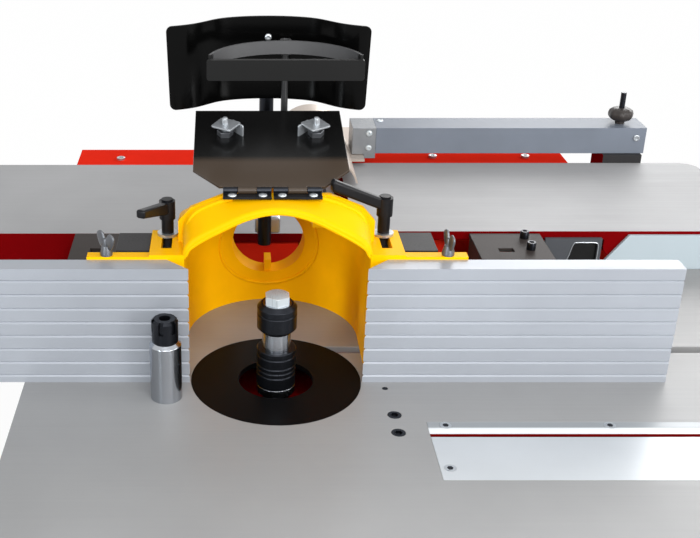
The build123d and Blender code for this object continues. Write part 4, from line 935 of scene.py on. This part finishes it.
@dataclass
class MainTable(Assembly):
    """Saw and moulder table with its ring, insert and screws."""
    coats: tuple[Coat, ...] = (
        Coat("main_table", Finishes.TABLE, 0.8),
        Coat("table_ring", Finishes.RING, 0.4),
        Coat("saw_insert", Finishes.INSERT, 0.3),
        # The strip is painted lit on its slot half and grey behind; its face towards the saw slot gets the
        # red in painted shade, for the dark red seen down the slot.
        Coat("insert_strip", Finishes.STRIP, 0.2, zone=Zone(Finishes.RED_PAINTED_SHADE, facing=(0.0, -1.0, 0.0))),
        Coat("table_screws", Finishes.ZINC, 0.3, zone=Zone(Finishes.BLACK_STEEL, high=(130.0, FAR, FAR))))
    # Painted shade and reflection: a dark red block in the groove's end stands in for the dark red
    # reflection seen there.
    stop: Block = Block(Finishes.RED_PAINTED_SHADE, (18.0, 6.6, 0.8), power=0.12)
    stop_seat: Seat = Seat(79.5, 63.0, -8.1)
    # Painted shade: a thin black hexagon on each flat screw stands in for its shaded hex socket.
    socket: Turning = Turning(
        Finishes.BLACK_STEEL, ((0, -0.2), (3.1, -0.2), (3.1, 0.15), (2.6, 0.2), (0, 0.2)), sides=6)
    flat_screws: tuple[Pair, ...] = (
        (165.0, -89.5), (328.0, -89.5), (491.0, -89.5), (156.5, -162.0), (530.5, -162.0))

    def build(self) -> None:
        """Adds the dark red block of painted shade in the groove's end, and black hexagons of painted
        shade for the flat screws' sockets.
        """
        self.stop.fit(self.shop, "groove_stop_painted_shade", "main_table", self.stop_seat)
        for i, place in enumerate(self.flat_screws):
            self.socket.fit(self.shop, f"screw_socket_painted_shade_{i}", "table_screws", Seat(*place, 0.0))


@dataclass
class SpindleUnit(Assembly):
    """Moulder spindle and its drive."""
    coats: tuple[Coat, ...] = (
        Coat("spindle_shaft", Finishes.STEEL, 0.3),
        Coat("spacer_rings", Finishes.BLACK_STEEL, 0.3),
        Coat("spindle_bolt", Finishes.BOLT, 0.4),
        Coat("spindle_guides spindle_bearings spindle_lift_shaft spindle_motor_pulley", Finishes.STEEL),
        # The carriage gets the red in painted shade.
        Coat("spindle_carriage", Finishes.RED_PAINTED_SHADE),
        Coat("spindle_motor", Finishes.MOTOR),
        Coat("spindle_belt", Finishes.RUBBER))


@dataclass
class SawUnit(Assembly):
    """Saw blade and its lift."""
    coats: tuple[Coat, ...] = (
        Coat("saw_guides saw_arbor saw_flange saw_lift_shaft", Finishes.STEEL),
        Coat("saw_blade", Finishes.BLADE),
        Coat("saw_carriage", Finishes.CASTING),
        Coat("saw_motor", Finishes.MOTOR))


@dataclass
class Planer(Assembly):
    """Planer tables, frame, ledge and cutter block."""
    ground: Zone = Zone(Finishes.PLANER_TOP, low=(-FAR, -FAR, 40.0), facing=(0.0, 0.0, 1.0))
    coats: tuple[Coat, ...] = (
        # The tables' sides and aprons get the red in painted shade; their ground top faces get planed
        # iron.
        Coat("infeed_table outfeed_table", Finishes.RED_PAINTED_SHADE, 0.8, zone=ground),
        Coat("planer_frame", Finishes.RED, 1.0),
        Coat("planer_skirt", Finishes.PALE, 0.8),
        Coat("rear_ledge", Finishes.RED, 0.8),
        Coat("cutter_block", Finishes.STEEL, 0.4),
        Coat("planer_knives", Finishes.STEEL))
    # The lip under the apron gets the red in painted shade.
    lip: Block = Block(Finishes.RED_PAINTED_SHADE, (124.5, 6.0, 4.5), power=0.1)
    lip_seat: Seat = Seat(-370.0, 288.5, 8.0)
    screw: Turning = fastener(Finishes.ZINC, Head.CAP, 6.2, 3.4)
    screws: tuple[Pair, ...] = ((-213.5, 584.0), (262.5, 594.0), (404.0, 594.0))
    ledge_z: float = 40.0

    def build(self) -> None:
        """Adds the lip under the infeed table's apron and the ledge's screws."""
        self.lip.fit(self.shop, "infeed_lip", "infeed_table", self.lip_seat)
        for i, place in enumerate(self.screws):
            self.screw.fit(self.shop, f"ledge_screw_{i}", "rear_ledge", Seat(*place, self.ledge_z))


@dataclass
class BridgeGuard(Assembly):
    """Guard of the planer's cutter block with its arm."""
    coats: tuple[Coat, ...] = (
        # The pedestal's left face gets the red in painted shade.
        Coat("guard_pedestal", Finishes.DARK_CAST, 1.5,
             zone=Zone(Finishes.RED_PAINTED_SHADE, facing=(-1.0, 0.0, 0.0))),
        Coat("guard_arm", Finishes.ARM, 2.0, segments=3,
             zone=Zone(Finishes.BLACK_STEEL, low=(500.0, 540.0, 101.5))),
        Coat("guard_bracket", Finishes.BRACKET, 0.8),
        Coat("guard_blade", Finishes.GUARD, 0.5))
    grip: Turning = Turning(
        Finishes.KNOB, ((0, 0), (7, 0), (7, 3.5), (10, 5), (15.5, 7.5), (18, 11), (18.4, 15), (17, 19.5),
                        (13, 22.6), (8, 24), (0, 24)), sides=84, lobes=7, dip=0.07)
    grip_seat: Seat = Seat(533.0, 573.0, 101.0)
    face_screw: Turning = fastener(Finishes.BOLT, Head.PAN, 4.6, 2.6)
    face_seats: tuple[Seat, ...] = (
        Seat(157.5, 548.0, 70.5, tilt=90.0), Seat(157.5, 548.0, 93.0, tilt=90.0))
    top_screw: Turning = fastener(Finishes.BOLT, Head.PAN, 5.0, 1.6)
    top_seat: Seat = Seat(177.0, 583.0, 101.0)
    end_screw: Turning = fastener(Finishes.BRIGHT, Head.CAP, 4.6, 2.2)
    end_seat: Seat = Seat(552.0, 548.0, 86.0, tilt=90.0)

    def build(self) -> None:
        """Adds the lobed grip and the screws of bracket and arm."""
        self.grip.fit(self.shop, "guard_grip", "guard_knob", self.grip_seat, stands_for=True)
        for i, seat in enumerate(self.face_seats):
            self.face_screw.fit(self.shop, f"arm_screw_{i}", "guard_bracket", seat)
        self.top_screw.fit(self.shop, "arm_screw_2", "guard_arm", self.top_seat)
        self.end_screw.fit(self.shop, "arm_screw_3", "guard_arm", self.end_seat)


@dataclass
class Hood(Assembly):
    """Yellow hood with its carriers, levers, hinges and wing nuts, and the brackets behind the fences."""
    washer: Zone = Zone(Finishes.ZINC, high=(FAR, FAR, 140.5))
    rails: Zone = Zone(Finishes.RAIL, low=(-FAR, 274.5, -FAR), high=(FAR, FAR, 42.9))
    coats: tuple[Coat, ...] = (
        Coat("hood", Finishes.YELLOW, 2.0, segments=3),
        Coat("carrier_left carrier_right", Finishes.DARK_CAST, 1.2),
        Coat("rear_brackets", Finishes.PLATE, 0.8, zone=rails),
        Coat("lever_left", Finishes.LEVER, 0.8, zone=washer),
        Coat("adjuster_knob", Finishes.KNURL, 0.3),
        Coat("hood_hinges", Finishes.BLACK_STEEL, 0.4))
    right_lever: Coat = Coat("lever_right", Finishes.LEVER, 0.8, zone=washer)
    lever_axis: Pair = (115.0, 70.0)
    lever_angle: float = 193.0
    lever_root: float = 171.0
    lever_rise: float = 28.0
    lever_length: float = 60.0
    lever_taper: Pair = (14.0, 9.0)
    lever_hub: float = 8.8
    lever_height: float = 13.5
    front: float = 16.0
    lip_bead: float = 1.9
    lip_up: float = 0.9
    lip_back: float = 0.6
    lip: tuple[Pair, ...] = ((0.0, 181.0), (34.2, 173.5), (66.5, 157.0), (88.35, 143.0), (94.0, 134.5))
    wall_radius: float = 96.0
    wall_y: float = 94.0
    window: Pair = (-3.0, 79.0)
    window_radius: float = 57.0
    window_arc: Pair = (-232.0, 52.0)
    window_bead: float = 2.2
    rim_bead: float = 2.6
    rim: tuple[Point, ...] = (
        (46.0, 46.0, 187.6), (62.0, 46.0, 182.6), (80.0, 46.0, 174.4), (88.5, 45.0, 167.0),
        (93.5, 44.0, 155.0), (97.0, 42.0, 140.0))
    wing_hub: Turning = Turning(
        Finishes.KNURL, ((0, 0), (6.5, 0), (6.5, 2.5), (4.6, 10.5), (3.0, 11.5), (3.0, 17.0), (2.4, 18.0),
                         (0, 18.0)), slot="bright_steel")
    wing: Block = Block(Finishes.KNURL, (5.8, 1.9, 9.0), power=0.7, slot="bright_steel")
    wing_x: float = 176.0
    wing_y: float = 22.0
    wing_z: float = 135.0
    wing_turn: Pair = (-48.0, -80.0)
    wing_out: float = 7.0
    wing_up: float = 16.0
    wing_flare: float = 24.0
    rivet: Turning = fastener(Finishes.ZINC, Head.RIVET, 4.6, 1.7)
    rivet_x: tuple[float, ...] = (-46.5, -15.0, 5.0, 37.0)
    rivet_y: float = 42.5
    rivet_z: float = 192.5
    # Painted highlight: a bright bead round the rail's window stands in for the light on its edge.
    rail_bead: float = 0.8
    rail_window: tuple[Point, ...] = (
        (380.2, 275, 1.0), (385.0, 275, 18.0), (389.6, 275, 35.0), (395.0, 275, 37.2), (407.0, 275, 37.4),
        (418.5, 275, 36.8), (421.4, 275, 32.0), (421.6, 275, 16.0), (421.6, 275, 1.0))
    # Painted shade: a black pad behind the rail's window stands in for the shade behind it.
    backing: Block = Block(Finishes.PAD, (23.0, 0.9, 19.0), power=0.1)
    backing_seat: Seat = Seat(401.5, 280.6, 19.5)
    bracket_screw: Turning = fastener(Finishes.BLACK_STEEL, Head.CAP, 5.6, 9.5)
    bracket_seats: tuple[Seat, ...] = (Seat(323.0, 231.0, 48.0), Seat(323.0, 266.0, 48.0))

    def build(self) -> None:
        """Adds what the casting and its fittings carry."""
        for piece in self.shop.coat(self.right_lever):
            self.thicken(piece)
        # Bright bead of painted highlight round the rail's window.
        edge = swept("rail_edge_painted_highlight", curve_through(self.rail_window, count=61), self.rail_bead, sides=10)
        self.shop.place(edge, "rear_brackets", Finishes.BRIGHT)
        self.backing.fit(self.shop, "rail_backing_painted_shade", "rear_brackets", self.backing_seat)
        for i, seat in enumerate(self.bracket_seats):
            self.bracket_screw.fit(self.shop, f"bracket_screw_{i}", "rear_brackets", seat)
        self.lip_edge()
        self.window_ring()
        for side, name, turn in ((-1, "left", self.wing_turn[0]), (1, "right", self.wing_turn[1])):
            path = curve_through(np.asarray(self.rim) * [side, 1, 1], count=61)
            rim = swept(f"brow_rim_{side + 1}", path, self.rim_bead, sides=14)
            self.shop.place(rim, "hood", Finishes.YELLOW)
            self.wing_nut(name, side * self.wing_x, turn)
        for i, x in enumerate(self.rivet_x):
            seat = Seat(x, self.rivet_y, self.rivet_z)
            self.rivet.fit(self.shop, f"hinge_rivet_{i}", "hood_hinges", seat)

    def thicken(self, piece: Piece) -> None:
        """Gives the right lever's handle the same height from root to tip.

        A point's distance from the handle's middle line is multiplied by the new height over the
        solid's height there, which falls evenly from root to tip.

        Args:
            piece: Copy of the lever.
        """
        points = from_spindle(vectors(piece.data.vertices, "co"))
        turn = math.radians(self.lever_angle)
        along = (points[:, :2] - self.lever_axis) @ [math.cos(turn), math.sin(turn)]
        share = along / self.lever_length
        middle = self.lever_root + self.lever_rise * share
        solid = self.lever_taper[0] + (self.lever_taper[1] - self.lever_taper[0]) * share
        grown = middle + (points[:, 2] - middle) * self.lever_height / solid
        points[:, 2] = np.where(along > self.lever_hub, grown, points[:, 2])
        move_points(piece, points)

    def lip_edge(self) -> None:
        """Rounded lip along the brow's front edge: a round bar on the lip's line, left and right alike."""
        half = np.asarray(self.lip) + [0.0, self.lip_bead * self.lip_up]
        line = curve_through(np.vstack([half[:0:-1] * [-1, 1], half]), count=121)
        y = np.full(len(line), self.front + self.lip_bead * self.lip_back)
        path = np.column_stack([line[:, 0], y, line[:, 1]])
        self.shop.place(swept("hood_lip", path, self.lip_bead, sides=20), "hood", Finishes.YELLOW)

    def window_ring(self) -> None:
        """Low bead round the window: a circle in X and Z, carried on to the round rear wall in Y."""
        angle = np.radians(np.linspace(*self.window_arc, num=97))
        x = self.window[0] + self.window_radius * np.cos(angle)
        z = self.window[1] + self.window_radius * np.sin(angle)
        y = self.wall_y + np.sqrt(self.wall_radius ** 2 - x ** 2)
        bead = swept("window_bead", np.column_stack([x, y, z]), self.window_bead, sides=14)
        self.shop.place(bead, "hood", Finishes.YELLOW)

    def wing_nut(self, name: str, x: float, turn: float) -> None:
        """Wing nut on a stud that stands on the arm's top edge.

        Args:
            name: Side that it is on.
            x: Place along X.
            turn: Degrees that the wings are turned by.
        """
        self.wing_hub.fit(self.shop, f"wing_hub_{name}", "hood", Seat(x, self.wing_y, self.wing_z))
        c, s = math.cos(math.radians(turn)), math.sin(math.radians(turn))
        for way in (-1, 1):
            out, flare = way * self.wing_out, way * self.wing_flare
            seat = Seat(x + out * c, self.wing_y + out * s, self.wing_z + self.wing_up, turn=turn,
                        lean=flare * c, tilt=-flare * s)
            self.wing.fit(self.shop, f"wing_{name}_{way + 1}", "hood", seat)


@dataclass
class CoverGuard(Assembly):
    """Hinged cover with clips, posts, visor and bow."""
    coats: tuple[Coat, ...] = (
        # The cover's warm brown front is a painted reflection.
        Coat("hood_cover", Finishes.COVER, 0.6),
        Coat("post_clamp", Finishes.DARK_CAST, 1.2),
        Coat("guard_posts", Finishes.BLACK_STEEL, 0.6,
             zone=Zone(Finishes.POST, low=(8.0, 225.0, 0.0), high=(25.0, 245.0, 400.0))),
        Coat("visor", Finishes.VISOR, 0.8, segments=3),
        Coat("pressure_bow", Finishes.PAD, 1.5, segments=3,
             zone=Zone(Finishes.LEAF, low=(-FAR, 172.0, -FAR))))
    collar: Block = Block(Finishes.ZINC, (16.0, 7.5, 11.0), power=0.25)
    collar_seat: Seat = Seat(-1.0, 270.0, 66.0)
    visor_screw: Turning = fastener(Finishes.ZINC, Head.PAN, 4.2, 2.4)
    visor_seat: Seat = Seat(-4.5, 249.2, 306.8, tilt=90.0)
    clip_middle: Point = (-3.5, 161.5, 218.0)
    clip_apart: float = 50.5
    cover_slope: float = 12.5
    stud: Turning = Turning(Finishes.BRIGHT, ((0, 0), (3.6, 0), (3.6, 19.5), (2.6, 22.0), (0, 22.6)))
    nut: Turning = fastener(Finishes.KNURL, Head.NUT, 9.0, 6.5)
    plate: Block = Block(Finishes.BRIGHT, (12.5, 12.5, 1.2), power=0.22)
    plate_shift: Point = (1.0, -2.0, 12.5)
    plate_turn: Pair = (45.0, 14.0)
    plate_drop: float = 4.0
    flange: Block = Block(Finishes.BRIGHT, (1.1, 9.5, 7.6), power=0.22)
    flange_shift: Point = (14.0, 3.0, 6.5)
    flange_turn: float = 40.0

    def build(self) -> None:
        """Adds the clips, the collar of the rear post and the visor's screw."""
        self.clip("left", -1)
        self.clip("right", 1)
        self.collar.fit(self.shop, "post_collar", "guard_posts", self.collar_seat)
        self.visor_screw.fit(self.shop, "visor_screw", "visor", self.visor_seat)

    def clip(self, name: str, side: int) -> None:
        """Turn clip: hexagon nut and stud on the cover, and a square plate with a folded flange.

        Args:
            name: Side that it is on.
            side: Minus one for the left and one for the right.
        """
        node = "cover_clips"
        middle = np.add(self.clip_middle, (side * self.clip_apart, 0.0, 0.0))
        mirror = np.array([-side, 1.0, 1.0])
        foot = Seat(*middle, tilt=self.cover_slope)
        self.stud.fit(self.shop, f"clip_stud_{name}", node, foot, stands_for=True)
        self.nut.fit(self.shop, f"clip_nut_{name}", node, foot)
        turn, swing = self.plate_turn
        seat = Seat(*(middle + mirror * self.plate_shift), turn=turn - side * swing,
                    tilt=self.cover_slope - self.plate_drop)
        self.plate.fit(self.shop, f"clip_plate_{name}", node, seat)
        seat = Seat(*(middle + mirror * self.flange_shift), turn=-side * self.flange_turn,
                    tilt=self.cover_slope)
        self.flange.fit(self.shop, f"clip_flange_{name}", node, seat)


@dataclass
class Fences(Assembly):
    """Ribbed fences with slanted inner ends."""
    fence: Coat = Coat("fence_left fence_right", Finishes.FENCE, 0.0, crisp=20.0)
    front: float = -7.0
    inner: float = 91.0
    end_reach: float = 0.5
    groove: float = 1.7
    even_pitch: float = 132.0 / 9
    lines: int = 8
    first_line: float = 8.1
    line_pitch: float = 15.7

    def build(self) -> None:
        """Makes both fences of drawn aluminium."""
        for piece in self.shop.coat(self.fence):
            self.trim(piece)

    def trim(self, piece: Piece) -> None:
        """Moves the grooves to their heights and slants the end at the hood's mouth.

        A groove point keeps its distance to its line while the line moves. A point of the inner end
        moves away from the mouth by as much as it lies behind the front face.

        Args:
            piece: Copy of a fence.
        """
        points = from_spindle(vectors(piece.data.vertices, "co"))
        number = np.rint(points[:, 2] / self.even_pitch)
        offset = points[:, 2] - number * self.even_pitch
        grooved = (points[:, 1] < self.front + self.groove) & (np.abs(offset) < self.groove)
        grooved &= (number >= 1) & (number <= self.lines)
        height = self.first_line + (number - 1) * self.line_pitch + offset
        points[:, 2] = np.where(grooved, height, points[:, 2])
        mouth = np.abs(np.abs(points[:, 0]) - self.inner) < self.end_reach
        points[:, 0] += mouth * np.sign(points[:, 0]) * (points[:, 1] - self.front)
        move_points(piece, points)


@dataclass
class RouterSpindle(Assembly):
    """Loose router spindle on the table: bright steel with a black nut."""
    coats: tuple[Coat, ...] = (
        Coat("router_arbor", Finishes.STEEL, 0.4),
        Coat("collet_nut", Finishes.BLACK_STEEL, 0.4))


@dataclass(frozen=True)
class Lamp:
    """Soft rectangular lamp: place, point that it faces and size in metres, power in watts, and colour."""
    name: str
    place: Point
    target: Point
    size: Pair
    power: float
    colour: Colour = (1.0, 1.0, 1.0)

    def hang(self) -> None:
        """Adds the lamp to the scene and turns it to its target."""
        data = bpy.data.lights.new(self.name, "AREA")
        data.color = self.colour
        data.shape = "RECTANGLE"
        data.size, data.size_y = self.size
        data.energy = self.power
        lamp = add_object(self.name, data)
        lamp.location = self.place
        way = np.subtract(self.target, self.place)
        lamp.rotation_euler = (math.acos(-way[2] / np.linalg.norm(way)), 0.0,
                               math.atan2(way[1], way[0]) - math.pi / 2)


@dataclass
class Studio:
    """Camera, lights, floor and background; the camera's sizes are in pixels, degrees and millimetres."""
    focal_px: float = 1115.66
    image_width: float = 700.0
    centre_px: float = 227.51
    pitch: float = 25.1
    eye: Point = (-51.3, -1025.64, 609.41)
    sensor: float = 36.0
    clip: Pair = (0.05, 60.0)
    sky: Colour = (0.95, 0.97, 1.0)
    sky_strength: float = 0.27
    floor_half: float = 14.0
    floor_tone: float = 0.9
    floor_white: Pair = (0.88, 0.995)
    floor_reach: Pair = (0.9, 3.0)
    lamps: tuple[Lamp, ...] = (
        Lamp("overhead", (0.5, 0.4, 3.0), (0.2, 0.1, 0.9), (2.0, 2.0), 9.0),
        Lamp("front_high", (0.0, -1.8, 2.3), (0.0, -0.1, 0.9), (1.4, 1.0), 33.0),
        Lamp("right_rear", (1.9, 2.6, 2.3), (0.3, 0.0, 0.9), (3.0, 1.6), 78.0),
        Lamp("right", (2.3, -0.6, 2.0), (0.5, -0.3, 0.87), (1.2, 1.0), 20.0),
        Lamp("right_front", (1.3, -2.0, 1.45), (-0.1, -0.1, 0.95), (0.7, 1.1), 30.0),
        Lamp("left_front", (-1.6, -2.0, 1.45), (-0.1, -0.1, 0.95), (0.3, 1.1), 22.0, (0.88, 0.95, 1.0)))

    def build(self) -> None:
        """Sets up the whole studio."""
        bpy.context.scene.view_settings.view_transform = "Standard"
        self.camera()
        self.world()
        self.floor()
        for lamp in self.lamps:
            lamp.hang()

    def camera(self) -> None:
        """Puts the camera where the photograph was taken from."""
        data = bpy.data.cameras.new("camera")
        data.sensor_width = self.sensor
        data.lens = self.focal_px / self.image_width * self.sensor
        data.shift_x = (self.image_width / 2 - self.centre_px) / self.image_width
        data.clip_start, data.clip_end = self.clip
        eye = add_object("camera", data)
        eye.location = at(*self.eye)
        eye.rotation_euler = (math.radians(90.0 - self.pitch), 0.0, 0.0)
        bpy.context.scene.camera = eye

    def world(self) -> None:
        """White for the camera and for reflections, and softer as a light."""
        world = bpy.data.worlds.new("studio")
        bpy.context.scene.world = world
        world.use_nodes = True
        tree = world.node_tree
        tree.nodes.clear()
        light = tree.nodes.new("ShaderNodeBackground")
        put(light, Color=(*self.sky, 1.0), Strength=self.sky_strength)
        seen = tree.nodes.new("ShaderNodeBackground")
        put(seen, Color=(1.0, 1.0, 1.0, 1.0), Strength=1.0)
        output = tree.nodes.new("ShaderNodeOutputWorld")
        whiten(tree, light.outputs["Background"], seen.outputs["Background"], output.inputs["Surface"])

    def floor(self) -> None:
        """Pale floor that keeps the machine's shadow and turns white away from it."""
        corners = np.array([[-1, -1, 0], [1, -1, 0], [1, 1, 0], [-1, 1, 0]]) * self.floor_half
        floor = mesh_object("floor", corners, np.array([[0, 1, 2, 3]]))
        graph = Graph("floor_pale")
        tone = self.floor_tone
        put(graph.shader, Base_Color=(tone, tone, tone, 1.0), Roughness=0.9)
        away = graph.add("ShaderNodeVectorMath")
        away.operation = "LENGTH"
        graph.join(graph.object, away.inputs[0])
        share = graph.spread(away.outputs["Value"], *self.floor_white, *self.floor_reach)
        glow = put(graph.add("ShaderNodeEmission"), Strength=1.0)
        whiten(graph.tree, graph.shader.outputs["BSDF"], glow.outputs["Emission"], graph.surface, share)
        floor.data.materials.append(graph.material)


def main() -> None:
    """Builds the machine's looks piece by piece."""
    logging.basicConfig(level=logging.INFO, format="%(name)s: %(message)s")
    shop = Workshop(frame)
    Studio().build()
    for assembly in (Cabinet(shop), MainTable(shop), SpindleUnit(shop), SawUnit(shop), Planer(shop),
                     BridgeGuard(shop), Hood(shop), CoverGuard(shop), Fences(shop), RouterSpindle(shop)):
        assembly.dress()


if __name__ == "__main__":
    main()
